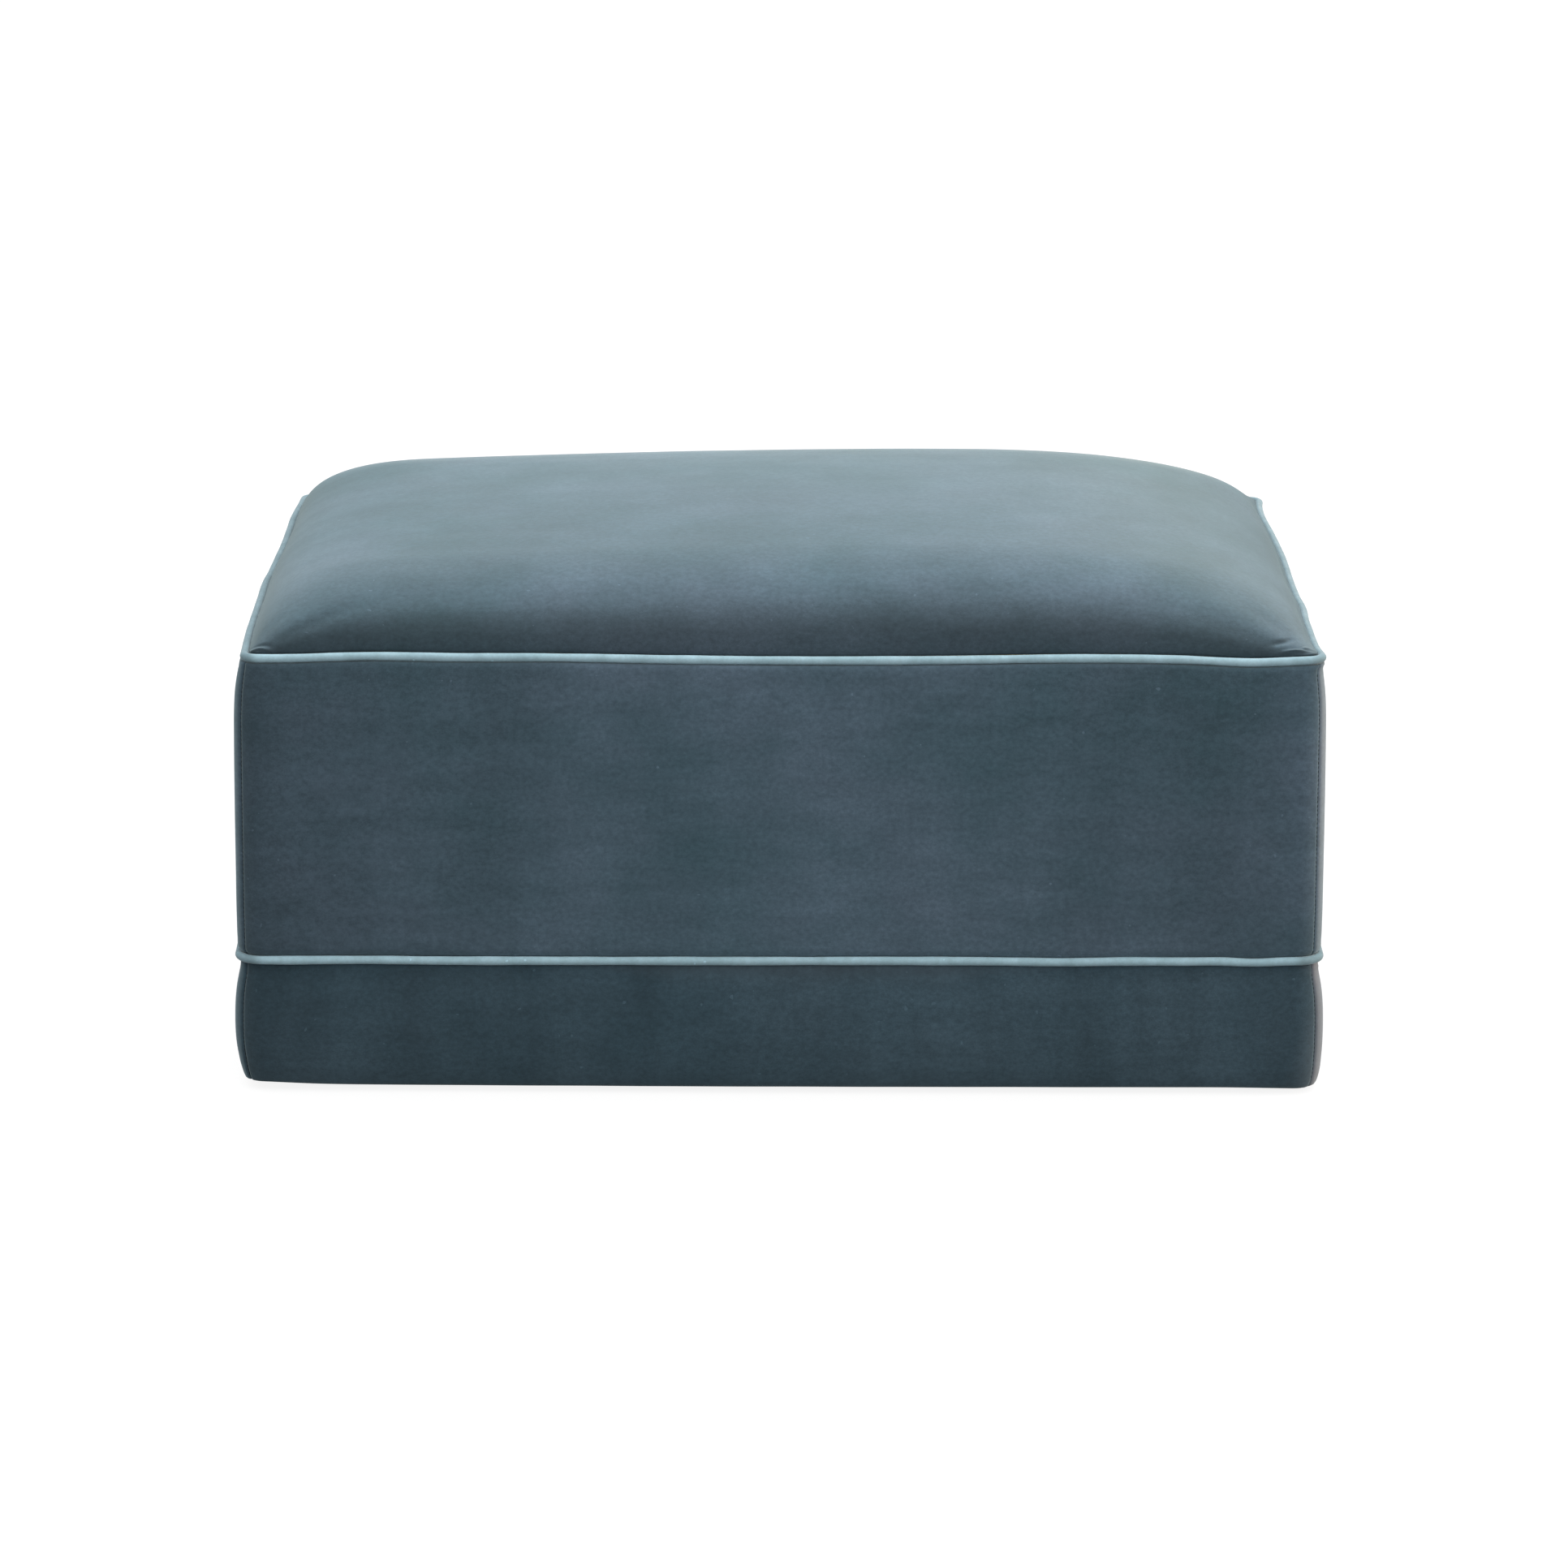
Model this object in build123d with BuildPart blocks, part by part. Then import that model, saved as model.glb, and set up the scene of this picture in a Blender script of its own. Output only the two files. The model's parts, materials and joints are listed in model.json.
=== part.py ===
from build123d import *
from math import cos, radians, sin, tan
import os

os.makedirs("parts", exist_ok=True)

# Lengths are in millimetres. The origin is at the bottom centre, the front faces -Y and up is +Z.

# Wooden frame
frame_width = 994.0
frame_depth = 734.0
frame_top = 351.0
rail_thickness = 20.0
bottom_rail_height = 150.0
top_rail_height = 70.0
post_width = 45.0
stretcher_height = 95.0
brace_height = 35.0
liner_thickness = 3.0

# Seams, heights above the floor
lower_seam = 131.0
upper_seam = 422.5
crown_height = 84.6

# Covers, how far they stand out from the frame's faces
border_fullness = 19.0
plinth_fullness = 22.3
side_bow = 3.5
frame_corner = 6.6
cover_thickness = 1.6
soft_gap = 0.3
fold_reach = 18.0

# Piping between the covers
welt_radius = 4.1
welt_sleeve = 1.2
welt_room = 0.5
flange_thickness = 1.2
seam_allowance = 12.0
upper_welt_outset = 6.0
lower_welt_outset = 17.0
rail_clearance = 0.5

# Spring deck
spring_count = 6
spring_spacing = 140.0
spring_width = 50.0
spring_pitch = 22.0
spring_wire = 3.8
spring_seat = 5.0
clip_thickness = 1.5
clip_play = 0.2
clip_width = 14.0
clip_reach = 13.0
nail_offset = 9.0
nail_length = 18.0
nail_radius = 1.0
nail_head_radius = 2.4
nail_head_thickness = 0.8
felt_thickness = 3.2

# Fasteners and underside
screw_length = 50.0
screw_radius = 2.0
screw_head_radius = 4.2
screw_head_angle = 82.0
glide_screw_length = 25.0
fit_clearance = 0.15
glide_height = 5.0
glide_radius = 15.0
glide_chamfer = 0.8
glide_recess = 1.5
dust_cover_thickness = 0.8
dust_cover_inset = 6.0
staple_inset = 12.0
staple_spacing = 100.0
staple_margin = 60.0
staple_width = 10.0
staple_leg = 9.0
staple_wire = 1.0

# Screw heights, as shares of the piece that they go into
face_screw_shares = (0.25, 0.75)
end_screw_shares = (0.4, 0.6)
stretcher_screw_shares = (0.3, 0.7)

# Bulge of each band from the bottom up: height share and share of the fullness
border_bulge_shares = [(0.025, 0.94), (0.055, 0.975), (0.12, 0.993), (0.3, 1), (0.5, 1), (0.72, 0.98)]
border_bulge_shares += [(0.82, 0.953), (0.885, 0.889), (0.938, 0.771), (0.962, 0.69), (0.981, 0.595)]
plinth_bulge_shares = [(0, 0.62), (0.01, 0.68), (0.028, 0.735), (0.067, 0.807), (0.126, 0.879), (0.204, 0.933)]
plinth_bulge_shares += [(0.3, 0.98), (0.4, 1), (0.5, 1), (0.62, 0.973), (0.72, 0.92), (0.82, 0.832)]
plinth_bulge_shares += [(0.876, 0.755), (0.93, 0.715)]

# Crown of the top panel: each cross-section's place as a share of half the width, and its height share
crown_shares = [(-0.978, 0.35), (-0.93, 0.52), (-0.87, 0.645), (-0.79, 0.735), (-0.6, 0.825), (-0.3, 0.925)]
crown_shares += [(0, 0.985), (0.25, 1), (0.43, 0.98), (0.6, 0.91), (0.72, 0.82), (0.82, 0.695)]
crown_shares += [(0.91, 0.52), (0.965, 0.35)]
crown_edge_share = 0.1
# A cross-section has walls, shoulders that turn in over them, and a crown between the shoulders
crown_wall_share = 0.15
crown_shoulder_share = 0.85
crown_turn_shares = (0.38, 0.65)
crown_shoulder = 87.0
# The crown's sides: height share, and the outset as a share of the upper welt's outset
crown_side_shares = [(0.12, 0.95), (0.22, 0.6), (0.36, -0.2), (0.6, -2), (1.15, -4.5)]
crown_round_share = 0.8

# Cuts run past the faces that they open by this much
overrun = 10.0
# The mitre planes reach this far in and out from the frame's corners
mitre_reach = 40.0

# Sizes worked out from those above
half_width = frame_width / 2
half_depth = frame_depth / 2
dust_cover_top = glide_height + dust_cover_thickness
frame_bottom = dust_cover_top + cover_thickness
top_rail_bottom = frame_top - top_rail_height
post_x = half_width - rail_thickness - post_width / 2
post_y = half_depth - rail_thickness - post_width / 2
rail_x = half_width - rail_thickness / 2
rail_y = half_depth - rail_thickness / 2
inside_depth = frame_depth - 2 * rail_thickness
flange_half = flange_thickness / 2
padding_inset = cover_thickness + soft_gap
upper_seam_outset = upper_welt_outset - welt_radius - welt_room
upper_hole_outset = upper_seam_outset - seam_allowance
spring_wire_radius = spring_wire / 2
bar_y = half_depth - rail_thickness + spring_seat
wire_level = frame_top + clip_thickness + clip_play + spring_wire_radius
felt_bottom = wire_level + spring_wire_radius + soft_gap
felt_top = felt_bottom + felt_thickness
liner_bottom = lower_seam + flange_half + padding_inset

# Signs of X and Y for the four sides and the four corners
sides = {"front": (0, -1), "back": (0, 1), "left": (-1, 0), "right": (1, 0)}
corners = {"front_left": (-1, -1), "front_right": (1, -1), "back_left": (-1, 1), "back_right": (1, 1)}


# A bowed rectangle with round corners, standing out from the frame's faces by the outset
def outline(level, outset, corner):
    x = half_width + outset
    y = half_depth + outset
    with BuildSketch(Plane.XY.offset(level)) as shape:
        with BuildLine():
            ThreePointArc((-x, -y), (0, -y - side_bow), (x, -y))
            ThreePointArc((x, -y), (x + side_bow, 0), (x, y))
            ThreePointArc((x, y), (0, y + side_bow), (-x, y))
            ThreePointArc((-x, y), (-x - side_bow, 0), (-x, -y))
        make_face()
        fillet(shape.vertices(), corner)
    return shape.sketch


# A profile point on the circle that a cover follows round a welt, at an angle from straight out
def beside_welt(seam, welt_outset, angle):
    follow = welt_radius + welt_room
    return seam + follow * sin(radians(angle)), welt_outset + follow * cos(radians(angle))


# The profile moved inwards: its ends by the inset both ways, the rest square to its line
def inset_profile(profile, inset):
    first, last = profile[0], profile[-1]
    moved = [(first[0] + inset, first[1] - inset)]
    for before, point, after in zip(profile, profile[1:], profile[2:]):
        run = Vector(after) - Vector(before)
        inward = Vector(run.Y, -run.X).normalized() * inset
        moved.append((point[0] + inward.X, point[1] + inward.Y))
    moved.append((last[0] - inset, last[1] - inset))
    return moved


# The solid inside one band of covers, from its profile of levels and outsets
def band(profile, inset=0):
    sections = [
        outline(level, outset, frame_corner + outset)
        for level, outset in inset_profile(profile, inset)
    ]
    with BuildPart() as block:
        loft(sections=sections, ruled=True)
    return block.part


# The part of the plan that belongs to one side, mitred through the frame's corners
def mitre(side):
    x_sign, y_sign = sides[side]
    outer_x, outer_y = half_width + mitre_reach, half_depth + mitre_reach
    inner_x, inner_y = half_width - mitre_reach, half_depth - mitre_reach
    if y_sign:
        points = [(-outer_x, outer_y), (outer_x, outer_y), (inner_x, inner_y), (-inner_x, inner_y)]
        points = [(x, y * y_sign) for x, y in points]
    else:
        points = [(outer_x, -outer_y), (outer_x, outer_y), (inner_x, inner_y), (inner_x, -inner_y)]
        points = [(x * x_sign, y) for x, y in points]
    with BuildSketch() as shape:
        Polygon(*points, align=None)
    return shape.sketch


# Profiles of the two bands, from the bottom up
border_bottom = lower_seam + flange_half
border_top = upper_seam - flange_half
border_profile = [(border_bottom, lower_welt_outset - welt_radius - welt_room)]
border_profile += [beside_welt(lower_seam, lower_welt_outset, angle) for angle in (140, 105)]
border_profile += [
    (border_bottom + rise * (border_top - border_bottom), fullness * border_fullness)
    for rise, fullness in border_bulge_shares
]
border_profile += [beside_welt(upper_seam, upper_welt_outset, angle) for angle in (250, 225)]
border_profile += [(border_top, upper_seam_outset)]

plinth_top = lower_seam - flange_half
plinth_profile = [
    (dust_cover_top + rise * (plinth_top - dust_cover_top), fullness * plinth_fullness)
    for rise, fullness in plinth_bulge_shares
]
plinth_profile += [beside_welt(lower_seam, lower_welt_outset, angle) for angle in (250, 220)]
plinth_profile += [(plinth_top, lower_welt_outset - welt_radius - welt_room)]


# Profile of the crown's sides
crown_base = upper_seam + flange_half
crown_side_profile = [(crown_base, upper_seam_outset)]
crown_side_profile += [beside_welt(upper_seam, upper_welt_outset, angle) for angle in (135, 110)]
crown_side_profile += [
    (crown_base + rise * crown_height, reach * upper_welt_outset) for rise, reach in crown_side_shares
]


# One cross-section of the crown, front to back, for a given height of its middle
def crown_section(x, height, inset):
    wall_y = half_depth + upper_welt_outset + overrun - inset
    shoulder_y = half_depth - crown_shoulder
    wall = crown_base + crown_wall_share * height - inset
    shoulder = crown_base + crown_shoulder_share * height - inset
    across, up = crown_turn_shares
    turn_y = wall_y + across * (shoulder_y - wall_y)
    turn = wall + up * (shoulder - wall)
    top = crown_base + height - inset
    low = crown_base - overrun
    with BuildSketch(Plane.YZ.offset(x)) as shape:
        with BuildLine():
            Line((wall_y, low), (-wall_y, low))
            Line((-wall_y, low), (-wall_y, wall))
            ThreePointArc((-wall_y, wall), (-turn_y, turn), (-shoulder_y, shoulder))
            ThreePointArc((-shoulder_y, shoulder), (0, top), (shoulder_y, shoulder))
            ThreePointArc((shoulder_y, shoulder), (turn_y, turn), (wall_y, wall))
            Line((wall_y, wall), (wall_y, low))
        make_face()
    return shape.sketch


# The solid inside the top panel: a crowned loft from end to end, trimmed by round-cornered sides
def crown(inset=0):
    end_x = half_width + upper_welt_outset + overrun
    stations = [(-end_x, crown_edge_share)]
    stations += [(share * half_width, height) for share, height in crown_shares]
    stations += [(end_x, crown_edge_share)]
    sections = [crown_section(x, height * crown_height, inset) for x, height in stations]
    seam_corner = frame_corner + upper_seam_outset - inset
    side_sections = [
        outline(level, outset, seam_corner + crown_round_share * max(level - crown_base - inset, 0))
        for level, outset in inset_profile(crown_side_profile, inset)
    ]
    with BuildPart() as block:
        loft(sections=sections, ruled=True)
    with BuildPart() as sides_block:
        loft(sections=side_sections, ruled=True)
        add(block.part, mode=Mode.INTERSECT)
    return sides_block.part


# A padding ring of one side: a band's inside from outside the core's faces, between two levels
def padding(side, block, core_outset, low, high):
    with BuildPart() as piece:
        add(block)
        split(bisect_by=Plane.XY.offset(low), keep=Keep.TOP)
        split(bisect_by=Plane.XY.offset(high), keep=Keep.BOTTOM)
        with Locations((0, 0, low - overrun)):
            Box(
                frame_width + 2 * core_outset,
                frame_depth + 2 * core_outset,
                high - low + 2 * overrun,
                align=(Align.CENTER, Align.CENTER, Align.MIN),
                mode=Mode.SUBTRACT,
            )
        extrude(mitre(side), amount=frame_top + overrun, mode=Mode.INTERSECT)
    return piece.part


# One side's cover: the band's skin, with its lips left whole from the lips' holes outwards
def cover(side, skin, low_hole_outset, high_hole_outset, low, high):
    middle = (low + high) / 2
    with BuildPart() as piece:
        add(skin)
        for hole_outset, level, reach in (
            (low_hole_outset, low - overrun, middle - low + overrun),
            (high_hole_outset, middle, high - middle + overrun),
        ):
            with Locations((0, 0, level)):
                Box(
                    frame_width + 2 * hole_outset,
                    frame_depth + 2 * hole_outset,
                    reach,
                    align=(Align.CENTER, Align.CENTER, Align.MIN),
                    mode=Mode.SUBTRACT,
                )
        extrude(mitre(side), amount=upper_seam + overrun, mode=Mode.INTERSECT)
    return piece.part


# A finished piece is named and written
def finish(piece, name):
    piece.label = name
    export_step(piece, f"parts/{name}.step")


# A countersunk screw along its own -Z with its head's face at zero, grown by the clearance
def screw(length, clearance=0, above=0):
    shank = screw_radius + clearance
    head = screw_head_radius + clearance
    head_depth = (screw_head_radius - screw_radius) / tan(radians(screw_head_angle / 2))
    with BuildPart() as piece:
        with BuildSketch(Plane.XZ):
            Polygon(
                (0, above),
                (head, above),
                (head, 0),
                (shank, -head_depth),
                (shank, screw_radius - length),
                (0, -length - clearance),
                align=None,
            )
        revolve(axis=Axis.Z)
    return piece.part


# The planes of the frame's screws, each facing out of the wood where the head sits
brace_level = top_rail_bottom + brace_height / 2


def levels_on_rails(shares):
    rails = ((frame_bottom, bottom_rail_height), (top_rail_bottom, top_rail_height))
    return [bottom + share * height for bottom, height in rails for share in shares]


def front_screws(y_sign):
    return [
        Plane(origin=(x_sign * post_x, y_sign * half_depth, level), z_dir=(0, y_sign, 0))
        for x_sign in (-1, 1)
        for level in levels_on_rails(face_screw_shares)
    ]


def side_screws(x_sign):
    return [
        Plane(origin=(x_sign * half_width, y_sign * post_y, level), z_dir=(x_sign, 0, 0))
        for y_sign in (-1, 1)
        for level in levels_on_rails(end_screw_shares)
    ]


def middle_screws(y_sign):
    levels = [frame_bottom + share * stretcher_height for share in stretcher_screw_shares] + [brace_level]
    return [Plane(origin=(0, y_sign * half_depth, level), z_dir=(0, y_sign, 0)) for level in levels]


screw_planes = {
    "front": front_screws(-1) + middle_screws(-1),
    "back": front_screws(1) + middle_screws(1),
    "left": side_screws(-1),
    "right": side_screws(1),
}
glide_screw_planes = {
    corner: Plane(origin=(x_sign * post_x, y_sign * post_y, glide_recess), z_dir=(0, 0, -1))
    for corner, (x_sign, y_sign) in corners.items()
}
screw_pocket = screw(screw_length, fit_clearance, overrun)
glide_screw_pocket = screw(glide_screw_length, fit_clearance, overrun)

# Where the springs run, and the nails of their clips on the front and back rails
spring_places = [(place - (spring_count - 1) / 2) * spring_spacing for place in range(spring_count)]
nail_places = [
    (x, y_sign * (bar_y + nail_offset), frame_top + clip_thickness)
    for x in spring_places
    for y_sign in (-1, 1)
]

with BuildPart() as nail:
    with BuildSketch(Plane.XZ):
        Polygon(
            (0, nail_head_thickness),
            (nail_head_radius, nail_head_thickness),
            (nail_head_radius, 0),
            (nail_radius, 0),
            (nail_radius, 2 * nail_radius - nail_length),
            (0, -nail_length),
            align=None,
        )
    revolve(axis=Axis.Z)

with BuildPart() as nail_pocket:
    Cylinder(
        nail_radius + fit_clearance,
        nail_length + fit_clearance + overrun,
        align=(Align.CENTER, Align.CENTER, Align.MAX),
    )

# Staple rows under the rails: each side's plane runs along the side, with Y up
side_staples = int((frame_depth - 2 * staple_margin) / staple_spacing) + 1
front_staples = int((frame_width - 2 * staple_margin) / staple_spacing) + 1
staple_x = half_width - staple_inset
staple_y = half_depth - staple_inset
leg_x = (staple_width - staple_wire) / 2


# The plane and the places of one side's staples
def staple_row(side):
    x_sign, y_sign = sides[side]
    count = front_staples if y_sign else side_staples
    places = [((place - (count - 1) / 2) * staple_spacing, 0) for place in range(count)]
    origin = (x_sign * staple_x, y_sign * staple_y, glide_height)
    along, across = ((1, 0, 0), (0, -1, 0)) if y_sign else ((0, 1, 0), (1, 0, 0))
    return Plane(origin=origin, x_dir=along, z_dir=across), places


# The slots that one side's staple legs take in what they hold
def staple_slots(side):
    plane, places = staple_row(side)
    with BuildPart() as slots:
        with BuildSketch(plane):
            with Locations(*places):
                with Locations((-leg_x, 0), (leg_x, 0)):
                    Rectangle(
                        staple_wire + 2 * fit_clearance,
                        staple_leg + fit_clearance,
                        align=(Align.CENTER, Align.MIN),
                    )
        extrude(amount=staple_wire / 2 + fit_clearance, both=True)
    return slots.part


# Rails of the frame, with the holes of their screws, clip nails and staples
for side, (x_sign, y_sign) in sides.items():
    size = (frame_width, rail_thickness) if y_sign else (rail_thickness, inside_depth)
    with BuildPart() as bottom_rail:
        with Locations((x_sign * rail_x, y_sign * rail_y, frame_bottom)):
            Box(*size, bottom_rail_height, align=(Align.CENTER, Align.CENTER, Align.MIN))
        with Locations(*screw_planes[side]):
            add(screw_pocket, mode=Mode.SUBTRACT)
        add(staple_slots(side), mode=Mode.SUBTRACT)
    finish(bottom_rail.part, f"{side}_bottom_rail")

    with BuildPart() as top_rail:
        with Locations((x_sign * rail_x, y_sign * rail_y, top_rail_bottom)):
            Box(*size, top_rail_height, align=(Align.CENTER, Align.CENTER, Align.MIN))
        with Locations(*screw_planes[side]):
            add(screw_pocket, mode=Mode.SUBTRACT)
        if y_sign:
            with Locations(*nail_places):
                add(nail_pocket.part, mode=Mode.SUBTRACT)
    finish(top_rail.part, f"{side}_top_rail")

# Corner posts, with the screws of two sides and a glide's screw
for corner, (x_sign, y_sign) in corners.items():
    with BuildPart() as post:
        with Locations((x_sign * post_x, y_sign * post_y, frame_bottom)):
            Box(
                post_width,
                post_width,
                frame_top - frame_bottom,
                align=(Align.CENTER, Align.CENTER, Align.MIN),
            )
        with Locations(*front_screws(y_sign), *side_screws(x_sign)):
            add(screw_pocket, mode=Mode.SUBTRACT)
        with Locations(glide_screw_planes[corner]):
            add(glide_screw_pocket, mode=Mode.SUBTRACT)
    finish(post.part, f"{corner}_post")

# Members from front to back: a stretcher on the floor side and a brace under the springs
for name, bottom, height in (
    ("bottom_stretcher", frame_bottom, stretcher_height),
    ("top_brace", top_rail_bottom, brace_height),
):
    with BuildPart() as member:
        with Locations((0, 0, bottom)):
            Box(rail_thickness, inside_depth, height, align=(Align.CENTER, Align.CENTER, Align.MIN))
        with Locations(*middle_screws(-1), *middle_screws(1)):
            add(screw_pocket, mode=Mode.SUBTRACT)
    finish(member.part, name)

# All screws of the frame
frame_screw = screw(screw_length)
with BuildPart() as frame_screws:
    with Locations(*[plane for planes in screw_planes.values() for plane in planes]):
        add(frame_screw)
finish(frame_screws.part, "frame_screws")

# Hardboard liners that close the frame above the lower seam
for side, (x_sign, y_sign) in sides.items():
    front_size = (frame_width + 2 * liner_thickness, liner_thickness)
    size = front_size if y_sign else (liner_thickness, frame_depth)
    liner_x = x_sign * (half_width + liner_thickness / 2)
    liner_y = y_sign * (half_depth + liner_thickness / 2)
    with BuildPart() as liner:
        with Locations((liner_x, liner_y, liner_bottom)):
            Box(*size, frame_top - liner_bottom, align=(Align.CENTER, Align.CENTER, Align.MIN))
    finish(liner.part, f"{side}_liner")

# Sinuous springs from the front rail to the back rail, each one unbroken wire of bars and half turns
turn_count = round(2 * bar_y / spring_pitch)
turn_radius = bar_y / turn_count
bar_half = spring_width / 2 - turn_radius
print("gap between spring bars", round(2 * turn_radius - spring_wire, 2))
for number, spring_x in enumerate(spring_places, start=1):
    with BuildPart() as spring:
        with BuildLine(Plane.XY.offset(wire_level)) as wire:
            for turn in range(turn_count + 1):
                y = 2 * turn * turn_radius - bar_y
                end = bar_half if turn % 2 == 0 else -bar_half
                bulge = turn_radius if turn % 2 == 0 else -turn_radius
                Line((spring_x - end, y), (spring_x + end, y))
                if turn < turn_count:
                    ThreePointArc(
                        (spring_x + end, y),
                        (spring_x + end + bulge, y + turn_radius),
                        (spring_x + end, y + 2 * turn_radius),
                    )
        with BuildSketch(Plane(origin=wire.line @ 0, z_dir=wire.line % 0)):
            Circle(spring_wire_radius)
        sweep()
    finish(spring.part, f"spring_{number}")

# Clips that curl over the springs' end bars, and their nails
curl_inner = spring_wire_radius + clip_play
curl_outer = curl_inner + clip_thickness
with BuildPart() as clip:
    with BuildSketch(Plane.YZ) as clip_section:
        with Locations((0, curl_outer)):
            Circle(curl_outer)
            Circle(curl_inner, mode=Mode.SUBTRACT)
            Rectangle(curl_outer, curl_outer, align=(Align.MIN, Align.MAX), mode=Mode.SUBTRACT)
        Rectangle(clip_reach, clip_thickness, align=Align.MIN)
    extrude(amount=clip_width / 2, both=True)
    with Locations((0, nail_offset, clip_thickness)):
        add(nail_pocket.part, mode=Mode.SUBTRACT)

with BuildPart() as spring_clips:
    for spring_x in spring_places:
        with Locations(
            Location((spring_x, bar_y, frame_top)),
            Location((spring_x, -bar_y, frame_top), (0, 0, 180)),
        ):
            add(clip.part)
finish(spring_clips.part, "spring_clips")

with BuildPart() as clip_nails:
    with Locations(*nail_places):
        add(nail.part)
finish(clip_nails.part, "clip_nails")

# Felt over the springs, pressed up over the clips' curls
with BuildPart() as deck_felt:
    with Locations((0, 0, felt_bottom)):
        Box(frame_width, frame_depth, felt_thickness, align=(Align.CENTER, Align.CENTER, Align.MIN))
    with Locations(*[(x, y_sign * bar_y, felt_bottom) for x in spring_places for y_sign in (-1, 1)]):
        Box(
            clip_width + 2 * soft_gap,
            2 * (curl_outer + soft_gap),
            wire_level + curl_outer + soft_gap - felt_bottom,
            align=(Align.CENTER, Align.CENTER, Align.MIN),
            mode=Mode.SUBTRACT,
        )
finish(deck_felt.part, "deck_felt")

# Seat foam on the felt, and the soft crown pad on it; they meet inside the ring of lips
border_block = band(border_profile)
border_padding = band(border_profile, padding_inset)
hole_width = frame_width + 2 * upper_hole_outset
hole_depth = frame_depth + 2 * upper_hole_outset
with BuildPart() as seat_foam:
    add(border_padding)
    split(bisect_by=Plane.XY.offset(felt_top), keep=Keep.TOP)
    with BuildSketch(Plane.XY.offset(border_top - padding_inset)):
        Rectangle(hole_width - 2 * soft_gap, hole_depth - 2 * soft_gap)
    extrude(amount=padding_inset + flange_half)
finish(seat_foam.part, "seat_foam")

with BuildPart() as crown_pad:
    add(crown(padding_inset))
    with BuildSketch(Plane.XY.offset(upper_seam)):
        Rectangle(hole_width - 2 * soft_gap, hole_depth - 2 * soft_gap)
    extrude(amount=padding_inset + flange_half)
finish(crown_pad.part, "crown_pad")

# Top panel: the crowned cover with a lip turned in all round
with BuildPart() as top_panel:
    add(crown())
    add(crown(cover_thickness), mode=Mode.SUBTRACT)
    with Locations((0, 0, crown_base - overrun)):
        Box(
            hole_width,
            hole_depth,
            overrun + 2 * cover_thickness,
            align=(Align.CENTER, Align.CENTER, Align.MIN),
            mode=Mode.SUBTRACT,
        )
finish(top_panel.part, "top_panel")

# Borders and plinth panels, sewn at the corners, and the foam behind each
plinth_block = band(plinth_profile)
plinth_padding = band(plinth_profile, padding_inset)
with BuildPart() as border_skin:
    add(border_block)
    add(band(border_profile, cover_thickness), mode=Mode.SUBTRACT)
with BuildPart() as plinth_skin:
    add(plinth_block)
    add(band(plinth_profile, cover_thickness), mode=Mode.SUBTRACT)
for side in sides:
    border = cover(side, border_skin.part, rail_clearance, upper_hole_outset, border_bottom, border_top)
    finish(border, f"{side}_border")
    plinth = cover(side, plinth_skin.part, -fold_reach, rail_clearance, dust_cover_top, plinth_top)
    with BuildPart() as plinth_panel:
        add(plinth)
        add(staple_slots(side), mode=Mode.SUBTRACT)
    finish(plinth_panel.part, f"{side}_plinth_panel")
    side_foam = padding(side, border_padding, liner_thickness, liner_bottom, felt_top)
    finish(side_foam, f"{side}_side_foam")
    plinth_foam = padding(side, plinth_padding, 0, frame_bottom + soft_gap, plinth_top - padding_inset)
    finish(plinth_foam, f"{side}_plinth_foam")

# Piping: a sleeve with its seam allowance, sewn between the lips, and the cord inside it
for name, seam, welt_outset, hole_outset in (
    ("upper", upper_seam, upper_welt_outset, upper_hole_outset),
    ("lower", lower_seam, lower_welt_outset, rail_clearance),
):
    route = outline(seam, welt_outset, frame_corner + welt_outset).face().outer_wire()
    section_plane = Plane(origin=route @ 0, z_dir=route % 0)
    bore = welt_radius - welt_sleeve
    flange_outset = welt_outset - welt_radius + welt_sleeve / 2
    flange = outline(seam - flange_half, flange_outset, frame_corner + flange_outset)
    with BuildPart() as welt:
        with BuildLine():
            add(route)
        with BuildSketch(section_plane):
            Circle(welt_radius)
            Circle(bore, mode=Mode.SUBTRACT)
        sweep()
        extrude(flange, amount=flange_thickness)
        with Locations((0, 0, seam)):
            Box(
                frame_width + 2 * hole_outset,
                frame_depth + 2 * hole_outset,
                2 * flange_thickness,
                mode=Mode.SUBTRACT,
            )
    finish(welt.part, f"{name}_welt")
    with BuildPart() as welt_cord:
        with BuildLine():
            add(route)
        with BuildSketch(section_plane):
            Circle(bore - soft_gap)
        sweep()
    finish(welt_cord.part, f"{name}_welt_cord")

# Dust cover under the frame, its staples, and the glides screwed on through it
with BuildPart() as dust_cover:
    with Locations((0, 0, glide_height)):
        Box(
            frame_width - 2 * dust_cover_inset,
            frame_depth - 2 * dust_cover_inset,
            dust_cover_thickness,
            align=(Align.CENTER, Align.CENTER, Align.MIN),
        )
    with Locations(*glide_screw_planes.values()):
        add(glide_screw_pocket, mode=Mode.SUBTRACT)
    for side in sides:
        add(staple_slots(side), mode=Mode.SUBTRACT)
finish(dust_cover.part, "dust_cover")

with BuildPart() as staples:
    for side in sides:
        plane, places = staple_row(side)
        with BuildSketch(plane):
            with Locations(*places):
                Rectangle(staple_width, staple_wire, align=(Align.CENTER, Align.MAX))
                with Locations((-leg_x, 0), (leg_x, 0)):
                    Rectangle(staple_wire, staple_leg, align=(Align.CENTER, Align.MIN))
        extrude(amount=staple_wire / 2, both=True)
finish(staples.part, "staples")

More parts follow.
